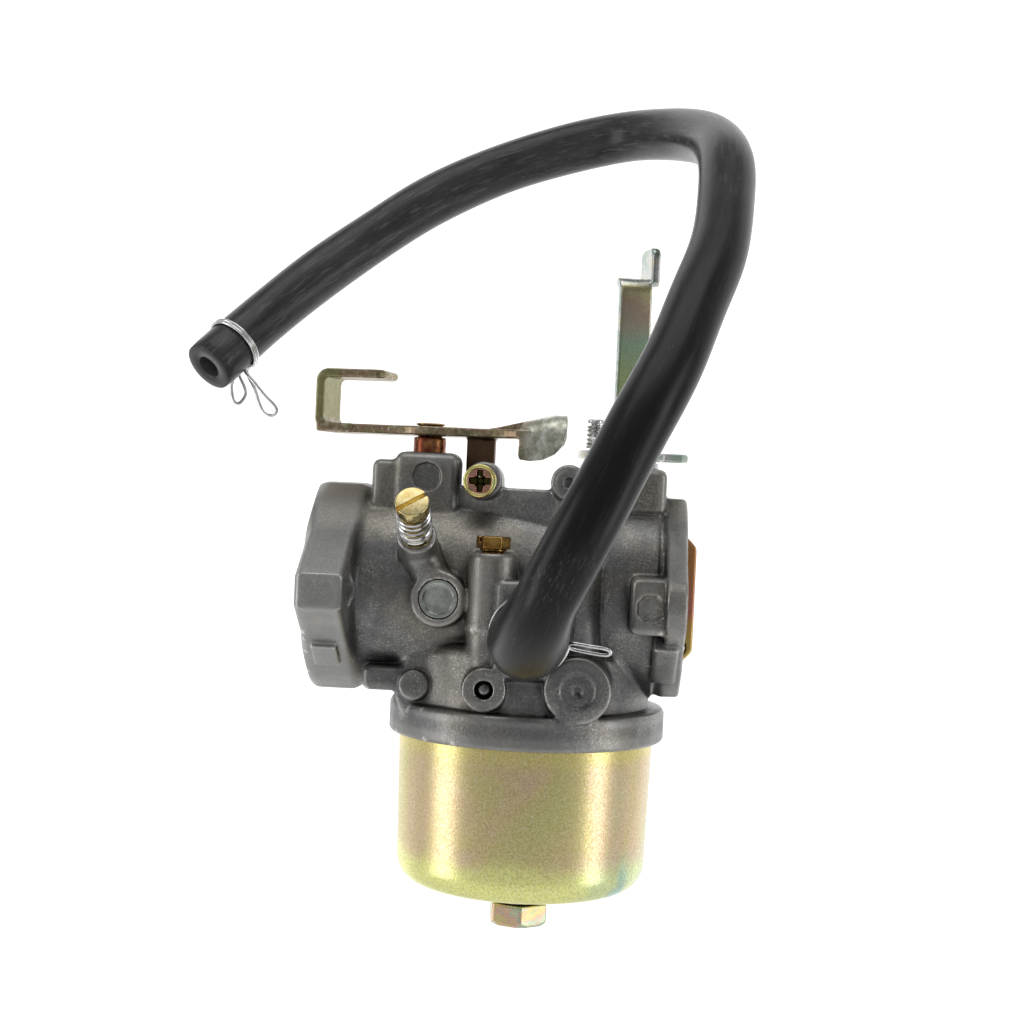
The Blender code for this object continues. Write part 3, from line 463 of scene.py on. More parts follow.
def between(a, b, c, d, t):
    """The point at t from b to c on a smooth curve through all four."""
    return 0.5 * (2 * b + (c - a) * t + (2 * a - 5 * b + 4 * c - d) * t ** 2 + (3 * b - a - 3 * c + d) * t ** 3)


def spline(points, per_span):
    given = [Vector(p) for p in points]
    ends = [2 * given[0] - given[1], *given, 2 * given[-1] - given[-2]]
    route = []
    for i in range(1, len(ends) - 2):
        route += [between(*ends[i - 1:i + 3], k / per_span) for k in range(per_span)]
    return [*route, given[-1]]


def swept(points, radii, sides=12, closed=False, cap=True, bm=None):
    """A round tube along points, on frames carried along it without twist."""
    own = bm is None
    bm = bmesh.new() if own else bm
    points = [Vector(p) for p in points]
    count = len(points)
    radii = radii if isinstance(radii, (list, tuple)) else [radii] * count
    ways = []
    for i in range(count):
        before = points[i - 1] if closed or i else points[i]
        after = points[(i + 1) % count] if closed or i + 1 < count else points[i]
        ways.append((after - before).normalized())
    side = ways[0].orthogonal().normalized()
    rows = []
    for point, way, radius in zip(points, ways, radii):
        side = (side - way * side.dot(way)).normalized()
        over = way.cross(side)
        rows.append([bm.verts.new(point + (side * cos(a) + over * sin(a)) * radius)
                     for a in (2 * pi * k / sides for k in range(sides))])
    pairs = list(zip(rows, rows[1:]))
    for low, high in pairs:
        for k in range(sides):
            j = (k + 1) % sides
            bm.faces.new((low[k], low[j], high[j], high[k]))
    if closed:
        first, last = rows[0], rows[-1]
        shift = min(range(sides), key=lambda s: (first[s].co - last[0].co).length)
        for k in range(sides):
            j = (k + 1) % sides
            bm.faces.new((last[k], last[j], first[(j + shift) % sides], first[(k + shift) % sides]))
    elif cap:
        bm.faces.new(rows[0])
        bm.faces.new(rows[-1])
    return finish_mesh(bm) if own else bm


# ------------------------------------------------------------------ distance-field solids

class Field:
    """A signed distance grid in mm. Solids are blended in and cut out, then skinned as quads."""

    def __init__(self, low, high, voxel):
        self.low, self.voxel = np.array(low, float), voxel
        self.shape = tuple(int(n) for n in np.ceil((np.array(high) - self.low) / voxel) + 1)
        self.grid = np.full(self.shape, FAR, np.float32)
        self.axes = [self.low[i] + voxel * np.arange(self.shape[i]) for i in range(3)]

    def window(self, box, margin):
        slices, axes = [], []
        for i in range(3):
            start = int(np.floor((box[0][i] - margin - self.low[i]) / self.voxel))
            stop = int(np.ceil((box[1][i] + margin - self.low[i]) / self.voxel)) + 1
            start, stop = max(start, 0), min(stop, self.shape[i])
            slices.append(slice(start, stop))
            shape = [1, 1, 1]
            shape[i] = -1
            axes.append(self.axes[i][start:stop].reshape(shape).astype(np.float32))
        return tuple(slices), axes

    def apply(self, shape, blend, cut):
        distance, box = shape
        where, axes = self.window(box, blend + 1.5)
        old, new = self.grid[where], distance(*axes)
        if cut:
            old, new = -old, new
        if blend:
            h = np.maximum(blend - np.abs(old - new), 0) / blend
            result = np.minimum(old, new) - h * h * blend / 4
        else:
            result = np.minimum(old, new)
        self.grid[where] = -result if cut else result

    def add(self, *shapes, blend=1.2):
        for shape in shapes:
            self.apply(shape, blend, False)
        return self

    def cut(self, *shapes, blend=0.0):
        for shape in shapes:
            self.apply(shape, blend, True)
        return self

    def cavity(self, places, reach=6):
        """How much solid lies round each place: 0.5 on a flat face, more in a recess, less on an edge."""
        solid = np.clip(0.5 - self.grid / (2 * self.voxel), 0, 1)
        wide = 2 * reach + 1
        for axis in range(3):
            pad = [(reach + 1, reach) if a == axis else (0, 0) for a in range(3)]
            total = np.moveaxis(np.cumsum(np.pad(solid, pad), axis, dtype=np.float64), axis, 0)
            solid = np.moveaxis((total[wide:] - total[:-wide]) / wide, 0, axis)
        spot = (places - self.low) / self.voxel
        first = np.clip(np.floor(spot).astype(int), 0, np.array(self.shape) - 2)
        part = spot - first
        value = np.zeros(len(places))
        for corner in product((0, 1), repeat=3):
            weight = np.prod(np.where(corner, part, 1 - part), axis=1)
            value += weight * solid[tuple((first + corner).T)]
        return value

    def skin(self, cavity=False):
        f = self.grid
        inside = f < 0
        n = [s - 1 for s in self.shape]
        count = sum(inside[i:n[0] + i, j:n[1] + j, k:n[2] + k].astype(np.int8)
                    for i, j, k in product((0, 1), repeat=3))
        active = (count > 0) & (count < 8)
        cells = np.argwhere(active)
        index = np.full(n, -1, np.int64)
        index[active] = np.arange(len(cells))
        total = np.zeros((len(cells), 3))
        hits = np.zeros(len(cells))
        corner = list(product((0, 1), repeat=3))
        for a, b in ((a, b) for a in corner for b in corner if a < b and sum(map(abs,
                                                                                 np.subtract(a, b))) == 1):
            fa, fb = f[tuple((cells + a).T)], f[tuple((cells + b).T)]
            cross = (fa < 0) != (fb < 0)
            t = np.where(cross, fa / np.where(cross, fa - fb, 1), 0)
            total += np.where(cross[:, None], np.array(a) + t[:, None] * np.subtract(b, a), 0)
            hits += cross
        verts = (cells + total / hits[:, None]) * self.voxel + self.low
        quads = []
        for axis in range(3):
            u, v = [(1, 2), (2, 0), (0, 1)][axis]
            first = np.moveaxis(inside, (axis, u, v), (0, 1, 2))
            edge = np.argwhere(first[:-1, 1:-1, 1:-1] != first[1:, 1:-1, 1:-1])
            flip = first[:-1, 1:-1, 1:-1][tuple(edge.T)]
            corners = []
            for du, dv in ((0, 0), (1, 0), (1, 1), (0, 1)):
                spot = np.empty_like(edge)
                spot[:, axis], spot[:, u], spot[:, v] = edge[:, 0], edge[:, 1] + du, edge[:, 2] + dv
                corners.append(index[tuple(spot.T)])
            face = np.stack(corners, 1)
            face[~flip] = face[~flip][:, ::-1]
            quads.append(face)
        faces = np.concatenate(quads)
        mesh = bpy.data.meshes.new("skin")
        mesh.vertices.add(len(verts))
        mesh.vertices.foreach_set("co", (verts * MM).astype(np.float32).ravel())
        mesh.loops.add(faces.size)
        mesh.loops.foreach_set("vertex_index", faces.astype(np.int32).ravel())
        mesh.polygons.add(len(faces))
        mesh.polygons.foreach_set("loop_start", np.arange(0, faces.size, 4, dtype=np.int32))
        mesh.update(calc_edges=True)
        if cavity:
            mesh.attributes.new("cavity", "FLOAT", "POINT").data.foreach_set("value", self.cavity(verts))
        mesh.validate()
        return mesh


def shaped(distance, low, high, turn=None):
    """A distance function and its box. turn is degrees about a vertical line through (x, y)."""
    if turn is None:
        return distance, (low, high)
    angle, cx, cy = radians(turn[0]), turn[1], turn[2]

    def rotated(x, y, z):
        u, v = x - cx, y - cy
        return distance(cos(angle) * u + sin(angle) * v, cos(angle) * v - sin(angle) * u, z)

    reach = max(hypot(px, py) for px in (low[0], high[0]) for py in (low[1], high[1]))
    return rotated, ((cx - reach, cy - reach, low[2]), (cx + reach, cy + reach, high[2]))


def box(low, high, round_by=0.6, turn=None):
    middle = [(a + b) / 2 for a, b in zip(low, high)]
    half = [(b - a) / 2 - round_by for a, b in zip(low, high)]

    def distance(x, y, z):
        q = [np.abs(c - m) - h for c, m, h in zip((x, y, z), middle, half)]
        outer = np.sqrt(sum(np.maximum(a, 0) ** 2 for a in q))
        return outer + np.minimum(np.maximum(np.maximum(q[0], q[1]), q[2]), 0) - round_by

    return shaped(distance, low, high, turn)


def rod(start, end, radius, round_by=0.5, end_radius=None):
    """A round bar or cone between two points, with its rims rounded."""
    start, end = Vector(start), Vector(end)
    way = (end - start).normalized()
    length = (end - start).length
    far = radius if end_radius is None else end_radius
    slope = cos(atan2(abs(far - radius), length))

    def distance(x, y, z):
        u, v, w = x - start.x, y - start.y, z - start.z
        along = u * way.x + v * way.y + w * way.z
        off = np.sqrt(np.maximum(u * u + v * v + w * w - along * along, 0))
        side = (off - (radius + (far - radius) * np.clip(along / length, 0, 1))) * slope + round_by
        ends = np.abs(along - length / 2) - length / 2 + round_by
        outer = np.sqrt(np.maximum(side, 0) ** 2 + np.maximum(ends, 0) ** 2)
        return outer + np.minimum(np.maximum(side, ends), 0) - round_by

    r = max(radius, far)
    low = [min(a, b) - r * sqrt(max(0, 1 - w * w)) for a, b, w in zip(start, end, way)]
    high = [max(a, b) + r * sqrt(max(0, 1 - w * w)) for a, b, w in zip(start, end, way)]
    return distance, (low, high)


def lathe(profile, at=(0, 0), axis="z"):
    """A solid of revolution from (radius, height) points in rising height. at holds the other two coordinates."""
    radii, heights = [p[0] for p in profile], [p[1] for p in profile]
    k = "xyz".index(axis)
    others = [i for i in range(3) if i != k]

    def distance(x, y, z):
        c = (x, y, z)
        h = c[k]
        off = np.sqrt((c[others[0]] - at[0]) ** 2 + (c[others[1]] - at[1]) ** 2)
        wanted = np.interp(h.ravel(), heights, radii).reshape(h.shape).astype(np.float32)
        slope = np.gradient(wanted.ravel(), h.ravel()).reshape(h.shape).astype(np.float32)
        side = (off - wanted) / np.sqrt(1 + slope * slope)
        return np.maximum(side, np.maximum(heights[0] - h, h - heights[-1]))

    low, high = [0.0] * 3, [0.0] * 3
    low[k], high[k] = heights[0], heights[-1]
    for i, centre in zip(others, at):
        low[i], high[i] = centre - max(radii), centre + max(radii)
    return distance, (low, high)


def plate(outline, normal, low, high, round_by=0.5, turn=None):
    """An outline extruded along x, y or z. The outline lists the other two coordinates in their own order."""
    k = "xyz".index(normal)
    others = [i for i in range(3) if i != k]
    points = [np.array(p, float) for p, q in zip(outline, outline[-1:] + outline[:-1])
              if hypot(p[0] - q[0], p[1] - q[1]) > 1e-6]
    area = sum(a[0] * b[1] - b[0] * a[1] for a, b in zip(points, points[1:] + points[:1]))
    if area < 0:
        points.reverse()

    def distance(x, y, z):
        c = (x, y, z)
        u, v = c[others[0]], c[others[1]]
        best, sign = None, None
        for a, b in zip(points, points[1:] + points[:1]):
            e, wu, wv = b - a, u - a[0], v - a[1]
            t = np.clip((wu * e[0] + wv * e[1]) / (e @ e), 0, 1)
            d = (wu - e[0] * t) ** 2 + (wv - e[1] * t) ** 2
            best = d if best is None else np.minimum(best, d)
            above, below, left = v >= a[1], v < b[1], e[0] * wv > e[1] * wu
            flip = (above & below & left) | (~above & ~below & ~left)
            one = np.where(flip, -1.0, 1.0)
            sign = one if sign is None else sign * one
        flat = np.sqrt(best) * sign + round_by
        ends = np.abs(c[k] - (low + high) / 2) - (high - low) / 2 + round_by
        outer = np.sqrt(np.maximum(flat, 0) ** 2 + np.maximum(ends, 0) ** 2)
        return outer + np.minimum(np.maximum(flat, ends), 0) - round_by

    lows, highs = [0.0] * 3, [0.0] * 3
    lows[k], highs[k] = low, high
    for i, j in enumerate(others):
        lows[j], highs[j] = min(p[i] for p in points), max(p[i] for p in points)
    return shaped(distance, lows, highs, turn)


def arc(centre, radius, start, end, count):
    turns = [radians(start + (end - start) * i / (count - 1)) for i in range(count)]
    return [(centre[0] + radius * cos(a), centre[1] + radius * sin(a)) for a in turns]


# ------------------------------------------------------------------ the casting

MIX_BASE = Vector((19.8, -22.0, 10.2))
MIX_AXIS = Vector((0.0, -cos(radians(32.5)), sin(radians(32.5))))


def flange_outline(bottom, soft=False):
    """A lozenge seen along the bore, with flat or soft tips."""
    left = arc((-23.56, 0), 5.44, 238, 122, 11) if soft else [(-29, -3.0), (-29, 3.0)]
    right = [(-y, z) for y, z in reversed(left)]
    return [*left, (-4.5, 18.4), (4.5, 18.4), *right, (4.5, bottom), (-4.5, bottom)]


def facet_pad(x_low, x_high, along, length, bottom):
    tip, foot = Vector((-29, -3.0)), Vector((-4.5, bottom))
    way = (foot - tip).normalized()
    out = Vector((way.y, -way.x))
    corners = ((along, -2), (along, 0.9), (along + length, 0.9), (along + length, -2))
    return plate([tuple(tip + way * s + out * h) for s, h in corners], "x", x_low, x_high, 0.5)


def casting():
    field = Field((-2, -32, -58), (70, 32, 27), CAST_VOXEL)
    field.add(lathe([(17.8, 0.2), (17.8, 60), (17.2, 66.3)], (0, 0), "x"), blend=0)
    field.add(plate(flange_outline(-19.0), "x", 0, 8.5, 1.3), blend=2.6)
    field.add(plate(flange_outline(-17.5, True), "x", 63.2, 66.7, 0.5), blend=1.6)
    field.add(lathe([(18.1, 52.4), (18.1, 62)], (0, 0), "x"), blend=0.2)
    # shaft bosses with their pads, and the ridge joining them
    field.add(
        rod((19.1, 0, 8), (19.1, 0, 24.7), 5.9, 0.9), box((14.0, -10.9, 6), (25.6, -1, 24.7), 1.7),
        box((9.9, -10.2, 13.4), (15, 10.2, 23.2), 1.4),
        rod((57.2, 0, 8), (57.2, 0, 23.4), 5.9, 0.8), box((51.6, -10.6, 15.2), (62.9, -1, 23.4), 1.4),
        rod((49.6, 0, 14), (49.6, 0, 19.4), 2.8, 0.5), blend=0.9)
    field.add(plate([(22, -8.8), (43, -12.8), (48.5, -12.6), (50, -3), (22, -3)], "z", 8, 19.0, 0.5),
              blend=0.5)
    field.add(
        rod((30.3, -12.5, 20.2), (30.3, -4, 20.2), 3.3, 0.6),
        rod((45.5, -14, 20.4), (45.5, -3.2, 20.4), 3.2, 0.7),
        box((43.6, -13.2, 12), (47.4, -3.4, 20.2), 0.6), blend=0.9)
    # mixture screw boss, running down to the sealing plug's boss
    field.add(rod(MIX_BASE - MIX_AXIS * 15, MIX_BASE, 3.5, 0.35), blend=1.3)
    field.add(rod((20.3, -17.9, 6.8), (23.0, -17.9, 1.5), 3.2),
              rod((23.9, -11, -0.8), (23.9, -20.8, -0.8), 4.9, 0.6),
              rod((23.9, -15, -0.8), (31, -16.6, -2.2), 2.6), blend=0.8)
    # columns, inlet block and the float chamber
    field.add(
        lathe([(4.35, -6), (4.3, 1), (4.3, 6.9), (3.9, 7.6)], (33.0, -18.8)),
        rod((33.0, -18.8, -4), (33.5, -17.0, -15), 4.3),
        lathe([(5.6, -17), (4.7, -9), (4.5, 6.5), (3.4, 8)], (47.6, -16.3)), blend=0.7)
    field.add(box((33.9, -23.45, -14), (46.8, -9, 3.2), 1.3), blend=0.25)
    field.add(lathe([(22.2, -22), (22.2, -10.6), (21.9, -9.7), (21.2, -9.1), (20.0, -8.8)], (BOWL_X, 0)),
              blend=0.8)
    field.add(rod((22.2, -6, -17.3), (22.2, -14.6, -17.3), 6.1, 0.9), blend=3.0)
    field.add(lathe([(24.9, -26), (25.25, -25.5), (25.25, -20.8), (24.8, -20.1)], (BOWL_X, 0)), blend=0.7)
    field.add(rod((32.7, -14, -15.9), (32.7, -23.4, -15.9), 3.85, 0.4),
              rod((48.8, -12, -15.2), (48.8, -24.2, -15.2), 5.8, 0.6),
              blend=0.6)
    field.add(rod((19.8, -6, -16.5), (19.8, -16.2, -16.5), 2.7, 0.35), blend=0.5)
    field.add(box((10.3, -15, -17.9), (20, 15, -13.5), 1.4), blend=0.5)
    # pads beside the air flange, and the back of the float chamber
    field.add(box((57.2, -26, -5), (64, -12, 4.7), 1.2), box((57.2, 12, -5), (64, 26, 4.7), 1.2), blend=0.8)
    field.add(facet_pad(1.6, 6.3, 12.1, 6.7, -19.0), facet_pad(61.4, 65.8, 7.7, 13.5, -17.5), blend=0.3)
    field.add(rod((44.3, 12, -13), (44.3, 24, -13), 5.0, 0.8),
              lathe([(6, -21), (4.2, -10), (4.0, 3), (2.8, 4.5)], (30.5, 16.5)),
              box((22, 13, -4), (50, 18.6, 0), 1.0), blend=1.3)
    # passages
    field.cut(lathe([(9.5, -3), (9.5, 29.0), (7.75, 33.0), (7.75, 36.5), (15.7, 44.1), (15.7, 70)], (0, 0),
                    "x"))
    field.cut(
        rod((19.1, 0, -14.6), (19.1, 0, 30), 3.3, 0), rod((57.2, 0, -17.9), (57.2, 0, 30), 3.3, 0),
        rod((49.6, 0, 16.4), (49.6, 0, 21), 1.2, 0), rod((29.8, -14, 20), (29.8, -1, 20), 2.2, 0),
        rod(MIX_BASE - MIX_AXIS * 12.6, MIX_BASE + MIX_AXIS, 2.3, 0),
        rod((23.9, -19.2, -0.8), (23.9, -23, -0.8), 3.5, 0),
        rod((33.0, -19.2, -3.2), (33.0, -19.2, 12), 2.3, 0),
        rod((40.5, -26, -5.5), (40.5, -17.4, -5.5), 3.3, 0),
        rod((40.5, -18, -5.5), (40.5, -15.5, -5.5), 1.5, 0),
        rod((40.5, -15.5, -22), (40.5, -15.5, -9.1), 3.3, 0),
        rod((40.5, -15.5, -10), (40.5, -15.5, -4.4), 1.3, 0),
        rod((32.7, -16.5, -15.9), (32.7, -25, -15.9), 1.65, 0),
        rod((45.5, -12.9, 20.4), (45.5, -15, 20.4), 0.85, 0),
        rod((19.9, -10.2, 20.4), (19.9, -12, 20.4), 2.5, 0),
        plate(arc((60.6, -0.4), 2.4, 22.5, 337.5, 8), "y", -28, -25.35, 0),
        *(rod((a, s * 22, 0), (b, s * 22, 0), r, 0) for s in (-1, 1) for a, b,
          r in ((-1, 9.5, 3.25), (58.8, 68, 2.5))))
    field.cut(rod((48.8, -22.9, -15.4), (48.8, -25.5, -15.4), 0.2, 0, 3.2),
              rod((45.5, -13.6, 20.4), (45.5, -15, 20.4), 2.4, 0),
              blend=0.3)
    field.cut(rod((48.8, -23.75, -15.2), (48.8, -25, -15.2), 3.0, 0))
    field.cut(lathe([(20.6, -30), (20.6, -18.8)], (BOWL_X, 0)),
              box((36.8, -21.9, -29), (44.2, -15, -20.2), 0))
    groove = lathe([(23.7, -30), (23.7, -24.2)], (BOWL_X, 0))
    core = lathe([(21.7, -31), (21.7, -20)], (BOWL_X, 0))
    ring = (lambda x, y, z: np.maximum(groove[0](x, y, z), -core[0](x, y, z)), groove[1])
    field.cut(ring)
    field.add(rod((BOWL_X, 0, -54.7), (BOWL_X, 0, -17.8), 5.5, 0.4),
              box((34.4, -20.4, -24.6), (36.6, -17, -17.8), 0.3),
              box((44.4, -20.4, -24.6), (46.6, -17, -17.8), 0.3), blend=0.4)
    field.cut(
        lathe([(3.2, -57), (3.2, -41.0), (2.4, -40.5), (2.4, -35.0), (2.3, -34.9), (2.3, -4.0)], (BOWL_X, 0)),
        rod((BOWL_X - 8, 0, -42.2), (BOWL_X + 8, 0, -42.2), 1.2, 0),
        rod((33.9, -19.3, -22.6), (47.3, -19.3, -22.6), 1.05, 0))
    piece("casting", field.skin(cavity=True), "cast", "carburetor", ["carb_body"], smooth=0)


# ------------------------------------------------------------------ bowl and fittings

def bowl_and_bolt():
    floor, wall, low_r, corner = -53.4, 0.9, 22.8, 4.5
    outside = [(BOWL_R, -25.4), (BOWL_R, -27), (low_r + 0.1, -44),
               *[(low_r - corner + r, floor + corner + z) for r, z in arc((0, 0), corner, 0, -90, 12)],
               (10.8, floor), (10.0, floor - 0.5), (8.8, floor - 1.9), (7.9, floor - 2.2), (3.3, floor - 2.4)]
    inside = [(3.3, floor - 2.4 + wall), (7.6, floor - 2.2 + wall), (9.2, floor - 0.6 + wall),
              (10.6, floor + wall),
              *[(low_r - corner + r, floor + corner + z) for r, z in arc((0, 0), corner - wall, -90, 0, 10)],
              (low_r - wall, -44), (22.4, -25.4)]
    piece("bowl", turned(outside + inside, (BOWL_X, 0, 0), sides=128, ring=True), "bowl", "carburetor",
          ["float_bowl"], 30)
    under = floor - 2.4
    washer = rounded([(3.4, under - 1.1), (5.0, under - 1.1), (5.0, under - 0.3), (3.4, under - 0.3)], 0.15)
    piece("bolt_washer", turned(washer, (BOWL_X, 0, 0), ring=True), "bolt", "carburetor",
          ["bowl_bolt_washer"])
    # hexagon head with its corners chamfered by a cone, then the shank
    top, low = under - 1.4, -61.2
    field = Field((BOWL_X - 7, -7, low - 1), (BOWL_X + 7, 7, -42.5), 0.22)
    apothem = 5.0
    hexagon = [(BOWL_X + apothem / cos(pi / 6) * cos(a), apothem / cos(pi / 6) * sin(a))
               for a in (pi / 6 + radians(8) + k * pi / 3 for k in range(6))]
    head = plate(hexagon, "z", low, top, 0.25)
    cone = lathe([(5.0, low), (5.75, low + 0.65), (5.95, top - 0.2), (5.75, top)], (BOWL_X, 0))
    both = (lambda x, y, z: np.maximum(head[0](x, y, z), cone[0](x, y, z)), head[1])
    field.add(both, blend=0)
    field.cut(rod((BOWL_X, 0, low - 1), (BOWL_X, 0, low + 0.35), 3.2, 0))
    field.add(rod((BOWL_X, 0, top - 1), (BOWL_X, 0, -43.5), 2.9, 0.5), blend=0.3)
    piece("bolt", field.skin(), "bolt", "carburetor", ["bowl_bolt"], smooth=0)


def slotted(profile, place, width, depth, turn, reach=4.0, sides=48):
    """A turned head with a straight driver slot cut across its top."""
    obj = bpy.data.objects.new("cutting", turned(profile, sides=sides))
    bm = bmesh.new()
    bmesh.ops.create_cube(bm, size=1)
    top = max(h for r, h in profile)
    bm.transform(Matrix.Rotation(radians(turn), 4, "Z") @ Matrix.Translation((0, 0, top))
                 @ Matrix.Diagonal((2 * reach, width, 2 * depth, 1)))
    tool = bpy.data.objects.new("tool", finish_mesh(bm))
    for made in (obj, tool):
        bpy.context.scene.collection.objects.link(made)
    modifier = obj.modifiers.new("slot", "BOOLEAN")
    modifier.operation, modifier.solver, modifier.object = "DIFFERENCE", "EXACT", tool
    mesh = bpy.data.meshes.new_from_object(obj.evaluated_get(bpy.context.evaluated_depsgraph_get()))
    for made in (obj, tool):
        bpy.data.objects.remove(made)
    mesh.transform(place)
    return mesh


def in_mm(place):
    """A placement in mm as one in metres."""
    place = place.copy()
    place.translation *= MM
    return place


def fittings():
    # pilot jet: a slotted hexagon head on a neck
    top = 10.5
    field = Field((29, -23, -4), (37, -15.5, 12), 0.16)
    hexagon = [(33 + 3.05 * cos(a), -19.2 + 3.05 * sin(a)) for a in (k * pi / 3 for k in range(6))]
    field.add(lathe([(0.5, -2.8), (1.9, -2.2), (1.9, 7.95), (2.35, 8.0), (2.35, 8.4)], (33.0, -19.2)),
              blend=0)
    field.add(plate(hexagon, "z", 8.35, top, 0.2), blend=0.1)
    field.cut(box((-4, -0.4, 9.4), (4, 0.4, 12), 0, turn=(34, 33.0, -19.2)))
    piece("pilot_jet_visual", field.skin(), "jet", "carburetor", ["pilot_jet"], smooth=0)
    profile = rounded([(3.36, 0), (3.36, 0.95), (2.75, 0.95), (2.5, 0.62), (1.2, 0.62), (0, 0.62)], 0.12, 4)
    piece("sealing_plug_visual", turned(profile, (23.9, -19.6, -0.8), -Y_AXIS), "plug", "carburetor",
          ["sealing_plug"])
    profile = [(0.02, -1.25), *arc((0, 0), 1.25, -85, 50, 16), (0.70, 1.04), (0.3, 1.08), (0, 1.09)]
    piece("plug_ball_visual", turned(profile, (32.7, -21.9, -15.9), -Y_AXIS, 32), "ball", "carburetor",
          ["passage_plug_ball"])
    # fuel nipple: collar against the casting, then a barbed end inside the hose
    y = [17.8, 23.5, 24.9, 31.1, 31.5, 34.5]
    profile = rounded([(1.5, y[0]), (3.0, y[0]), (3.0, y[1]), (4.3, y[1]), (4.3, y[2]), (2.7, y[2]),
                       (2.7, y[3]),
                       (3.3, y[4]), (2.6, y[5]), (1.5, y[5])], 0.2, 3)
    piece("nipple_visual", turned(profile, (40.5, 0, -5.5), -Y_AXIS, ring=True), "brass", "carburetor",
          ["fuel_nipple"])
    # stop screw: a threaded shank and a round head with a cross recess
    x, z, tip, seat, face = 29.8, 20.0, -2.1, -12.8, -15.2
    thread = [(r, tip - 1.2 - k * 0.7 - d) for k in reversed(range(14)) for r,
              d in ((1.9, 0.35), (1.62, 0.0))]
    field = Field((x - 4, face - 1, z - 4), (x + 4, tip + 1, z + 4), 0.14)
    field.add(lathe([(1.9, seat), *thread, (1.9, tip - 0.9), (1.1, tip)], (x, z), "y"),
              rod((x, face, z), (x, seat, z), 3.0, 0.4), blend=0.15)
    field.cut(rod((x, face - 1, z), (x, face + 0.4, z), 2.25, 0), blend=0.25)
    field.cut(rod((x, face - 0.1, z), (x, face + 2.2, z), 1.3, 0, 0.5), blend=0.3)
    for wide, high in ((1.95, 0.55), (0.55, 1.95)):
        field.cut(box((x - wide, face - 1, z - high), (x + wide, face + 1.9, z + high), 0.15), blend=0.2)
    piece("stop_screw_visual", field.skin(), "screw", "stop_screw", ["throttle_stop_screw"],
          smooth=0)
    # mixture screw and its spring
    head = (8.6, 10.9)
    thread = []
    for k in range(14):
        h = -7.5 + k * 0.5
        thread += [(1.9, h), (1.65, h + 0.25)]
    profile = [(0, -12.2), (1.85, -8.4), *thread, (1.9, -0.4), (1.9, head[0] - 0.1), *rounded(
        [(1.9, head[0]), (2.88, head[0]), (2.88, head[1]), (0, head[1])], [0, 0.25, 0.3, 0], 4)[1:]]
    place = in_mm(facing(MIX_BASE, MIX_AXIS))
    piece("mixture_screw_visual", slotted(profile, place, 0.85, 1.3, 35), "brass", "mixture_screw_body",
          ["mixture_screw"], 30)
    at = facing(MIX_BASE + MIX_AXIS * 0.7, MIX_AXIS)
    piece("mixture_spring_visual", spring(at, 2.62, 7.3, 5.5, 0.36), "steel", "carburetor",
          ["mixture_screw_spring"])
    # the choke's friction pin, spring and washer
    piece("friction_pin_visual",
          turned(rounded([(0, 16.7), (0.9, 16.7), (0.9, 31.6), (1.6, 31.6), (1.6, 32.3), (0, 32.5)],
                                                [0, 0.2, 0.05, 0.1, 0.4, 0], 3), (49.6, 0, 0), sides=32),
          "steel", "carburetor", ["choke_friction_pin"])
    piece("friction_spring_visual", spring(facing((49.6, 0, 27.2), Z_AXIS), 1.47, 3.9, 5.5, 0.27), "steel",
          "carburetor", ["choke_friction_spring"])
    piece("choke_washer_visual", turned(rounded([(3.4, 23.7), (4.4, 23.7), (4.4, 24.7), (3.4, 24.7)], 0.1),
                                        (57.2, 0, 0), ring=True), "steel", "carburetor",
                                        ["choke_shaft_washer"])


def spring(place, radius, length, turns, wire, per_turn=28):
    """A helical spring whose end turns lie closer together."""
    count = int(turns * per_turn)
    points = []
    for i in range(count + 1):
        t = i / count
        rise = t + 0.035 * sin(2 * pi * t)
        a = 2 * pi * turns * t
        points.append(place @ Vector((radius * cos(a), radius * sin(a), length * (2 * t - rise))))
    return swept(points, wire, 8)


# ------------------------------------------------------------------ shafts, plates and levers

def turned_about(mesh, x, degrees):
    mesh.transform(Matrix.Translation((x * MM, 0, 0)) @ Matrix.Rotation(radians(degrees), 4, "Z"))
    return mesh


def shaft_mesh(bottom, lever_z, half_cut):
    """A shaft cut away for its plate, with a neck through its lever and a staked head on top."""
    top = lever_z + 1.6 + 0.3
    field = Field((-4, -4, bottom - 1), (4, 4, top + 2), 0.2)
    field.add(rod((0, 0, bottom), (0, 0, lever_z - 0.3), 3.0, 0.25),
              rod((0, 0, lever_z - 1), (0, 0, top + 0.2), 2.2, 0.1),
              rod((0, 0, top), (0, 0, top + 0.4), 2.7, 0.2), blend=0.1)
    field.cut(box((-0.9, -6, -half_cut), (6, 6, half_cut), 0.1))
    return field.skin()


def plate_screw_mesh(height):
    profile = rounded([(0, -2.7), (1.4, -2.7), (1.4, 0.9), (2.3, 0.9), (2.3, 1.9), (0, 2.1)],
                      [0, 0.2, 0, 0.1, 0.5, 0], 4)
    return slotted(profile, in_mm(facing((0, 0, height), X_AXIS)), 0.6, 0.5, 0, 3.0, 32)


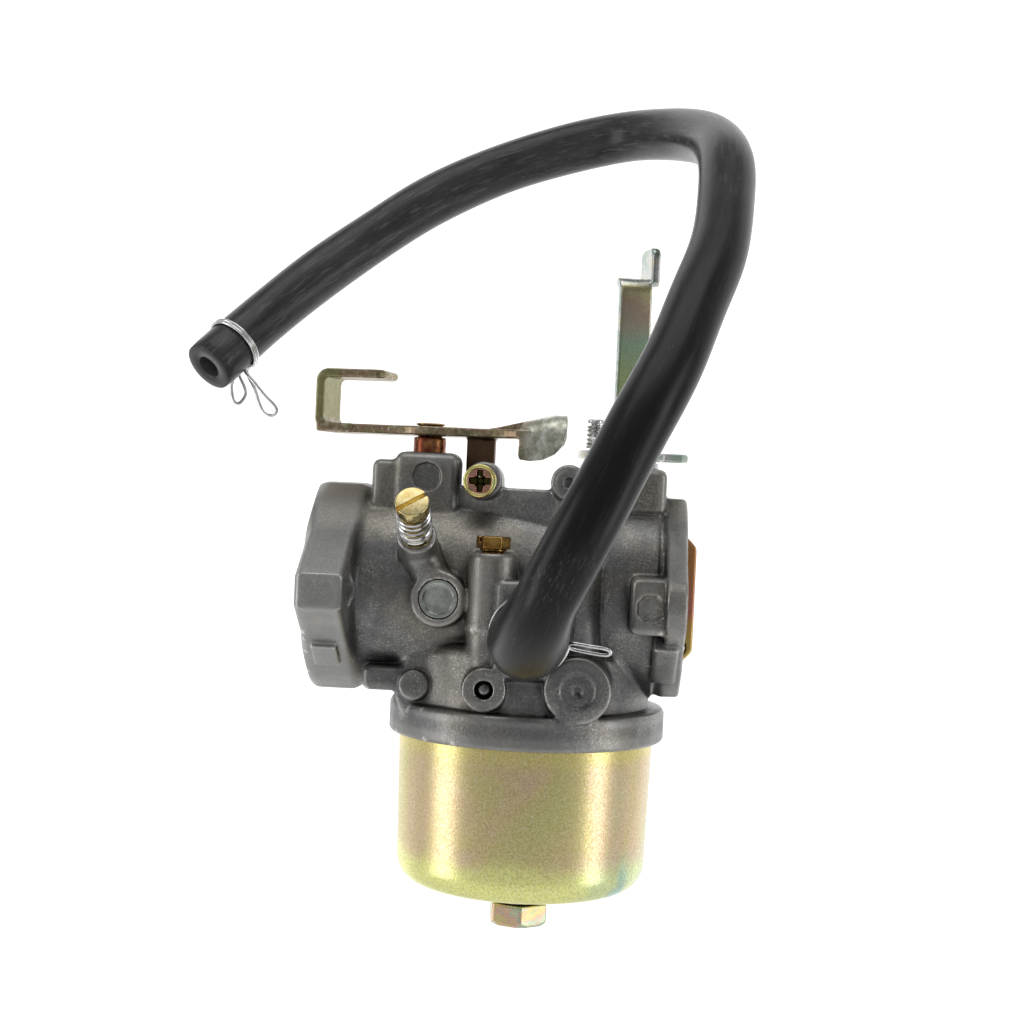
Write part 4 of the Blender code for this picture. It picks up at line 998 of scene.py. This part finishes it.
def throttle_lever_mesh():
    low, high = 28.0, 29.6
    field = Field((-23, -7, 17), (29, 7, 42), 0.2)
    strip = [(-20.6, -5), (-5, -5), *arc((0, 0), 6.2, 238, 302, 7), (6, -4.6), (8.5, -3.4), (12.5, -3.0),
             (15, -3.6),
             (17.4, -4.8), (20, -4.8), (20, 2.1), (9, 2.1), *arc((0, 0), 6.2, 35, 125, 9), (-5, 5),
             (-20.6, 5)]
    field.add(plate(strip, "z", low, high, 0.3), blend=0)
    # the hook: a wall and an arm folded up from the strip
    outer = [(-14, low), *arc((-18.4, low + 2.6), 2.6, 270, 180, 9), *arc((-18.7, 37.4), 2.3, 180, 90, 9),
             *arc((-8.6, 38.9), 0.8, 90, -90, 7)]
    inner = [(-18.7, 38.1), *arc((-18.4, 37.1), 1.0, 90, 180, 5), *arc((-18.0, low + 3.0), 1.4, 180, 270, 6),
             (-14, high)]
    field.add(plate(outer + inner, "y", -5, 5, 0.3), blend=0.2)
    field.cut(*(plate([(-7.0, s * 3.2), (-6.6, s * 3.2), (-6.6, s * 6), (-9.2, s * 6), (-9.2, s * 5)], "z",
                      37.5, 40.5, 0)
                for s in (-1, 1)), blend=0.4)
    # the stop tab and the rolled finger tab
    field.add(box((6.9, 0.5, 18.4), (12.2, 2.1, 28.6), 0.3), blend=0.7)

    def rolled(x, y, z):
        rise = 3.2 * np.clip((x - 10.5) / 13.0, 0, 1)
        z = z - (rise - 2.1)
        bend = np.hypot(y + 0.5, z - 27.0) - 3.7
        leaf = np.where(z > 27.0, np.where(y < -0.5, bend, z - 30.7), -(y + 0.5) - 3.7)
        return (np.abs(leaf) - 0.8 + 0 * x).astype(np.float32)

    side = [(17.3, 34), (17.8, 25.0), (18.3, 24.2), (20.0, 24.0), (22.4, 24.3), (24.6, 25.4), (26.2, 27.2),
            (26.8, 29.2),
            (26.7, 31), (26.1, 32.4), (25.2, 34)]
    mask = plate(side, "y", -6, 2.1, 0.1)
    back = plate([(10.5, -3.0), (18, -1.2), (18, -6), (27, -6), (26.2, -1.5), (24.8, 1.0), (23, 2.1),
                  (10.5, 2.1)], "z", 22, 34, 0.1)
    leaf = (lambda x, y, z: np.maximum(np.maximum(rolled(x, y, z), back[0](x, y, z)),
                                       np.where(y < -1.2, mask[0](x, y, z), -1.0 + 0 * (x + z))),
            ((10, -5.4, 22), (27, 2.2, 33.2)))
    field.add(leaf, blend=0.5)
    field.cut(rod((0, 0, 20), (0, 0, 35), 2.5, 0))
    return field.skin()


def choke_lever_mesh():
    low, high = 25.0, 26.6
    field = Field((-12, -12, 23), (12, 15, 67), 0.22)
    rest = 165.0
    sector = [*arc((0, 0), 10.6, rest - 15, rest + 95, 22), *arc((0, 0), 5.4, 275, 325, 6), (8.2, -3.0),
              (9.6, -1.6),
              (9.6, 1.6), (8.2, 3.0), (5.0, 3.2), (4.6, 6.1), (-4.6, 6.1), (-5.4, 4.6)]
    field.add(plate(sector, "z", low, high, 0.35), blend=0)
    # the arm stands up at the back and its top folds over, with a rounded tab beside it
    arm = [(4.3, low + 0.3), *arc((7.1, 56.6), 2.8, 180, 90, 10), (13.0, 59.4), (13.0, 57.8),
           *arc((7.1, 56.6), 1.2, 90, 180, 6),
           (5.9, low + 0.3)]
    field.add(plate(arm, "x", -3.1, 3.1, 0.3), blend=0.9)
    tab = [(4.9, 58.6), (4.9, 62.6), *arc((6.6, 63.6), 1.7, 180, 90, 5), (11.3, 65.3),
           *arc((11.3, 63.7), 1.6, 90, 0, 5),
           (12.9, 57.9), (5.4, 57.9)]
    field.add(plate(tab, "x", 3.0, 4.6, 0.35), blend=0.3)
    slot = [*arc((0, 0), 8.8, rest - 9.5, rest + 89.5, 20), *arc((0, 0), 6.4, rest + 89.5, rest - 9.5, 20)]
    field.cut(plate(slot, "z", low - 1, high + 1, 0.1))
    field.cut(rod((0, 0, 20), (0, 0, 30), 2.5, 0),
              plate([(-3.4, 6.6), (-3.4, 14), (-0.4, 14)], "z", 56, 61, 0))
    return field.skin()


def plate_mesh(outline, holes):
    """A thin plate in the YZ plane with rounded rims."""
    ys, zs = [p[0] for p in outline], [p[1] for p in outline]
    field = Field((-1.6, min(ys) - 1, min(zs) - 1), (1.6, max(ys) + 1, max(zs) + 1), 0.25)
    field.add(plate(outline, "x", -0.6, 0.6, 0.2), blend=0)
    for y, z, r in holes:
        field.cut(rod((-2, y, z), (2, y, z), r, 0))
    return field.skin()


def both_groups():
    # throttle
    x, rest, turn = THROTTLE_X, -10.0, 20.0
    piece("throttle_lever_visual", turned_about(throttle_lever_mesh(), x, rest), "lever", "throttle",
          ["throttle_lever"], smooth=0)
    piece("throttle_shaft_visual", turned_about(shaft_mesh(-14.2, 28.0, 9.9), x, rest + turn),
          "bronze", "throttle", ["throttle_shaft"], smooth=0)
    disc = arc((0, 0), 9.2, 0, 360 - 360 / 96, 96)
    piece("throttle_plate_visual",
          turned_about(plate_mesh(disc, ((0, -4.5, 1.7), (0, 4.5, 1.7))), x, rest + turn),
          "brass", "throttle", ["throttle_plate"], smooth=0)
    for name, height in (("lower", -4.5), ("upper", 4.5)):
        piece("throttle_screw_" + name, turned_about(plate_screw_mesh(height), x, rest + turn), "steel",
              "throttle",
              ["throttle_plate_screw_" + name])
    # choke
    x, rest, turn = CHOKE_X, 15.0, 75.0
    piece("choke_lever_visual", turned_about(choke_lever_mesh(), x, rest), "choke", "choke",
          ["choke_lever"], smooth=0)
    piece("choke_shaft_visual", turned_about(shaft_mesh(-17.6, 25.0, 15.9), x, rest + turn),
          "steel", "choke", ["choke_shaft"], smooth=0)
    edge = [*arc((0, 0), 15.3, 33.2, 146.8, 40), *arc((0, 0), 15.3, 213.2, 326.8, 40)]
    edge = [(max(-12.0, min(12.0, u)), v) for u, v in edge]
    holes = ((0, -6, 1.7), (0, 6, 1.7), (-sqrt(15.3 ** 2 - 12.0 ** 2) + 0.5, -9, 1.6))
    piece("choke_plate_visual", turned_about(plate_mesh(edge, holes), x, rest + turn), "chokeplate", "choke",
          ["choke_plate"], smooth=0)
    for name, height in (("lower", -6.0), ("upper", 6.0)):
        piece("choke_screw_" + name, turned_about(plate_screw_mesh(height), x, rest + turn), "steel",
              "choke",
              ["choke_plate_screw_" + name])


# ------------------------------------------------------------------ hose and clips

HOSE_ROUTE = [
    (40.2, -34.9, -5.8), (41.0, -42.0, -4.8), (44.0, -53.5, 2.5), (50.0, -57.0, 15.0),
    (56.0, -53.5, 28.0), (61.5, -46.5, 39.5), (65.5, -37.5, 50.5), (69.0, -27.5, 60.5),
    (70.5, -17.0, 70.3), (70.8, -6.0, 79.5), (68.7, 7.0, 85.7), (63.0, 20.0, 89.4),
    (53.0, 30.5, 90.8), (40.0, 34.5, 88.4), (26.5, 34.0, 83.5), (14.0, 30.5, 76.5),
    (3.0, 26.0, 68.0), (-7.0, 20.0, 59.0), (-16.0, 13.5, 49.5), (-24.1, 4.5, 39.3)]
HOSE_R = 5.0


def run_along(mesh, lengths, radii, sides):
    """Store each ring's distance along the hose and its place round it. Radius 0 keeps the cut face plain."""
    run = mesh.attributes.new("run", "FLOAT_VECTOR", "POINT")
    turns = [2 * pi * k / sides for k in range(sides)]
    values = [v for s, r in zip(lengths, radii) for a in turns for v in (s, r * cos(a), r * sin(a))]
    run.data.foreach_set("vector", values)


def hose_and_clips():
    given = [(40.5, -26.0, -5.5), (40.4, -30.5, -5.6), *HOSE_ROUTE]
    route = spline(given, 8)
    far = [0.0]
    for a, b in zip(route, route[1:]):
        far.append(far[-1] + (b - a).length)
    total = far[-1]
    radii = []
    for s in far:
        swell = 1.45 * (1 - min(max((s - 13.0) / 17.0, 0), 1) ** 1.5) if s < 30 else 0.0
        lip = 0.25 if s < 1.0 else 0.0
        radii.append(HOSE_R + swell - lip + 0.05 * sin(s * 0.21))
    radii[-1] -= 0.15
    bm = bmesh.new()
    way = (route[-1] - route[-2]).normalized()
    # the cut end: its rim, then the hole going back inside the hose
    tip = route[-1]
    sides = 48
    swept(route, radii, sides, cap=False, bm=bm)
    bm.verts.ensure_lookup_table()
    last = bm.verts[-sides:]
    rims = [last]
    for size, depth in ((HOSE_R - 0.35, -0.12), (3.6, 0.0), (2.45, 0.0), (2.25, 0.2), (2.25, 9.0),
                        (0.6, 10.0)):
        row = []
        for vert in last:
            out = (vert.co - tip)
            out = (out - way * out.dot(way)).normalized()
            row.append(bm.verts.new(tip + out * size - way * depth))
        rims.append(row)
    for low, high in zip(rims, rims[1:]):
        for k in range(sides):
            j = (k + 1) % sides
            bm.faces.new((low[k], low[j], high[j], high[k]))
    bm.faces.new(rims[-1])
    bm.verts.ensure_lookup_table()
    bm.faces.new(bm.verts[:sides])
    mesh = finish_mesh(bm)
    lengths = [s * MM for s in (*far, *[total] * len(rims[1:]))]
    run_along(mesh, lengths, [HOSE_R * MM] * len(far) + [0.0] * len(rims[1:]), sides)
    hose = piece("hose", mesh, "rubber", "carburetor", ["fuel_hose"], 60)
    clips = [clip("hose_clip_lower", "lower_hose_clip", Vector((40.5, -30.0, -5.5)), Vector((0, -1, 0.0)),
                  6.75,
                  LOWER_TAILS), clip("hose_clip_upper", "upper_hose_clip", Vector((-20.27, 8.67, 44.1)), way,
                                     5.35,
                                     UPPER_TAILS)]
    path = [tuple(p * MM) for p in route]
    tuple(path[0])


# each tail is one hairpin: out along one wire and back along the other
UPPER_TAILS = (
    [(-17.9, 8.2, 39.3), (-16.3, 7.9, 37.4), (-14.1, 7.8, 34.9), (-12.0, 7.8, 32.9), (-11.4, 8.0, 31.7),
     (-12.3, 8.4, 30.8), (-13.9, 8.8, 31.3), (-15.0, 9.2, 32.9), (-16.2, 9.8, 35.8), (-18.0, 10.2, 39.2)],
    [(-20.2, 11.0, 38.6), (-21.0, 11.2, 36.7), (-20.9, 11.4, 34.6), (-20.4, 11.6, 33.2), (-19.4, 11.8, 33.1),
     (-18.4, 12.0, 34.8), (-18.9, 12.0, 36.6), (-20.0, 12.0, 38.8)])
LOWER_TAILS = (
    [(47.6, -30.8, -6.4), (50.6, -31.2, -6.7), (53.3, -31.4, -7.0), (54.1, -31.2, -7.5), (53.3, -30.8, -8.1),
     (50.0, -30.2, -7.8), (47.4, -29.6, -7.4)],
    [(43.6, -30.6, 0.9), (44.1, -30.8, 2.2), (44.5, -30.9, 3.2), (45.0, -30.6, 3.7), (45.4, -30.1, 3.2),
     (45.1, -29.7, 2.0), (44.6, -29.4, 0.6)])


def clip(name, node, seat, way, radius, tails):
    """One closed wire, doubled round the hose, with a hairpin tail at each end."""
    way = way.normalized()
    middle = sum((Vector(p) for t in tails for p in (t[0], t[-1])), Vector()) / 4 - seat
    down = (middle - way * middle.dot(way)).normalized()
    over = way.cross(down)

    def ring(side, start, end, count=26):
        turns = [radians(start + (end - start) * i / count) for i in range(count + 1)]
        return [seat + (down * cos(a) + over * sin(a)) * radius + way * side for a in turns]

    def turn_of(point):
        offset = Vector(point) - seat
        return atan2(offset.dot(over), offset.dot(down)) * 180 / pi

    first, second = turn_of(tails[0][0]), turn_of(tails[1][0])
    low, high = (tails[0], tails[1]) if first > second else (tails[1], tails[0])
    start, end = max(first, second), min(first, second) + 360
    half = 0.34
    ends = [Vector(low[0]), Vector(low[-1])]
    near = 1 if (ends[0] - seat).dot(way) > (ends[1] - seat).dot(way) else -1
    # the tail at the ring's start, back along the ring, the tail at its end, and back again
    one = ring(half * near, start + 6, end - 6)
    two = ring(-half * near, end - 6, start + 6)
    far_tail = [Vector(p) for p in high]
    if (far_tail[0] - one[-1]).length > (far_tail[-1] - one[-1]).length:
        far_tail.reverse()
    near_tail = [Vector(p) for p in low]
    if (near_tail[0] - two[-1]).length > (near_tail[-1] - two[-1]).length:
        near_tail.reverse()
    loop = [*one, *far_tail, *two, *near_tail]
    smooth = []
    count = len(loop)
    for i in range(count):
        four = [loop[(i + k) % count] for k in (-1, 0, 1, 2)]
        smooth += [between(*four, k / 3) for k in range(3)]
    return piece(name, swept(smooth, 0.34, 10, closed=True), "steel", "carburetor", [node], 0)


# ------------------------------------------------------------------ the rest, light and floor

def carried_over():
    """The inner pieces keep their CAD shape and take a finish."""
    for name, paint in (("bowl_gasket", "plastic"), ("main_jet", "brass"), ("main_nozzle", "brass"),
                        ("needle_seat", "brass"), ("float_pin", "steel"), ("needle_valve", "brass"),
                        ("float", "plastic")):
        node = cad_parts[name]
        node.data.materials.clear()
        node.data.materials.append(PAINTS[paint])


def area(name, at, target, size, power):
    data = bpy.data.lights.new(name, "AREA")
    data.shape = "RECTANGLE"
    data.size, data.size_y = size[0] * MM, size[1] * MM
    data.energy = power
    light = bpy.data.objects.new(name, data)
    bpy.context.scene.collection.objects.link(light)
    at = Vector(at) * MM
    light.location = at
    light.rotation_euler = (Vector(target) * MM - at).to_track_quat("-Z", "Y").to_euler()


def softbox(name, azimuth, distance, middle_z, size, radiance):
    """A soft light at an azimuth from the front, in degrees and positive to the right, aimed at the part."""
    a = radians(azimuth)
    at = Vector((39 + distance * sin(a), -distance * cos(a), middle_z))
    power = radiance * pi * size[0] * size[1] * MM * MM
    area(name, at, (39, 0, middle_z * 0.3), size, power)


def studio():
    """A pale floor, well below the part because it hangs by its flange, sweeping up into a backdrop."""
    bm = bmesh.new()
    floor_z, front_y, back_y, top_z, width, bend, steps = -210.0, -700, 620.0, 1100, 1500.0, 300, 16
    section = [(front_y, floor_z), (back_y - bend, floor_z)]
    section += [(back_y - bend + bend * sin(a), floor_z + bend - bend * cos(a)) for a in
                (radians(90 * k / steps) for k in range(1, steps + 1))]
    section.append((back_y, top_z))
    rows = [[bm.verts.new((x, y, z)) for x in (35 - width, 35 + width)] for y, z in section]
    for a, b in zip(rows, rows[1:]):
        bm.faces.new((a[0], a[1], b[1], b[0]))
    bmesh.ops.scale(bm, vec=(MM, MM, MM), verts=bm.verts)
    mesh = bpy.data.meshes.new("floor")
    bm.to_mesh(mesh)
    bm.free()
    mesh.shade_smooth()
    floor = bpy.data.objects.new("floor", mesh)
    bpy.context.scene.collection.objects.link(floor)
    pale = Paint("pale_sweep", Roughness=0.9, Emission_Strength=1.0)
    far = pale.span(pale.axis(1), 120, 330)
    out = pale.span(pale.math("ABSOLUTE", pale.math("SUBTRACT", pale.axis(0), 35.0)), 380, 700, 1.0, 0.35)
    pale.put(pale.shader.inputs["Emission Color"], pale.ramp(pale.times(far, out), (0.0, 0.29), (1.0, 0.85)))
    pale.colour((0.62, 0.62, 0.62))
    mesh.materials.append(pale.material)
    world = bpy.data.worlds.new("studio")
    bpy.context.scene.world = world
    world.use_nodes = True
    world.node_tree.nodes["Background"].inputs[0].default_value = (0.98, 0.99, 1.0, 1)
    world.node_tree.nodes["Background"].inputs[1].default_value = 0.33
    softbox("left_softbox", -71, 420, -20, (150, 560), 1.98)
    softbox("right_softbox", 71, 420, -20, (125, 560), 1.92)
    area("top_softbox", (40, -90, 430), (40, 0, 0), (420, 260), 0.42)
    bpy.context.scene.view_settings.view_transform = "Standard"


make_camera()
make_paints()
fittings()
hose_and_clips()
casting()
bowl_and_bolt()
both_groups()
carried_over()
studio()
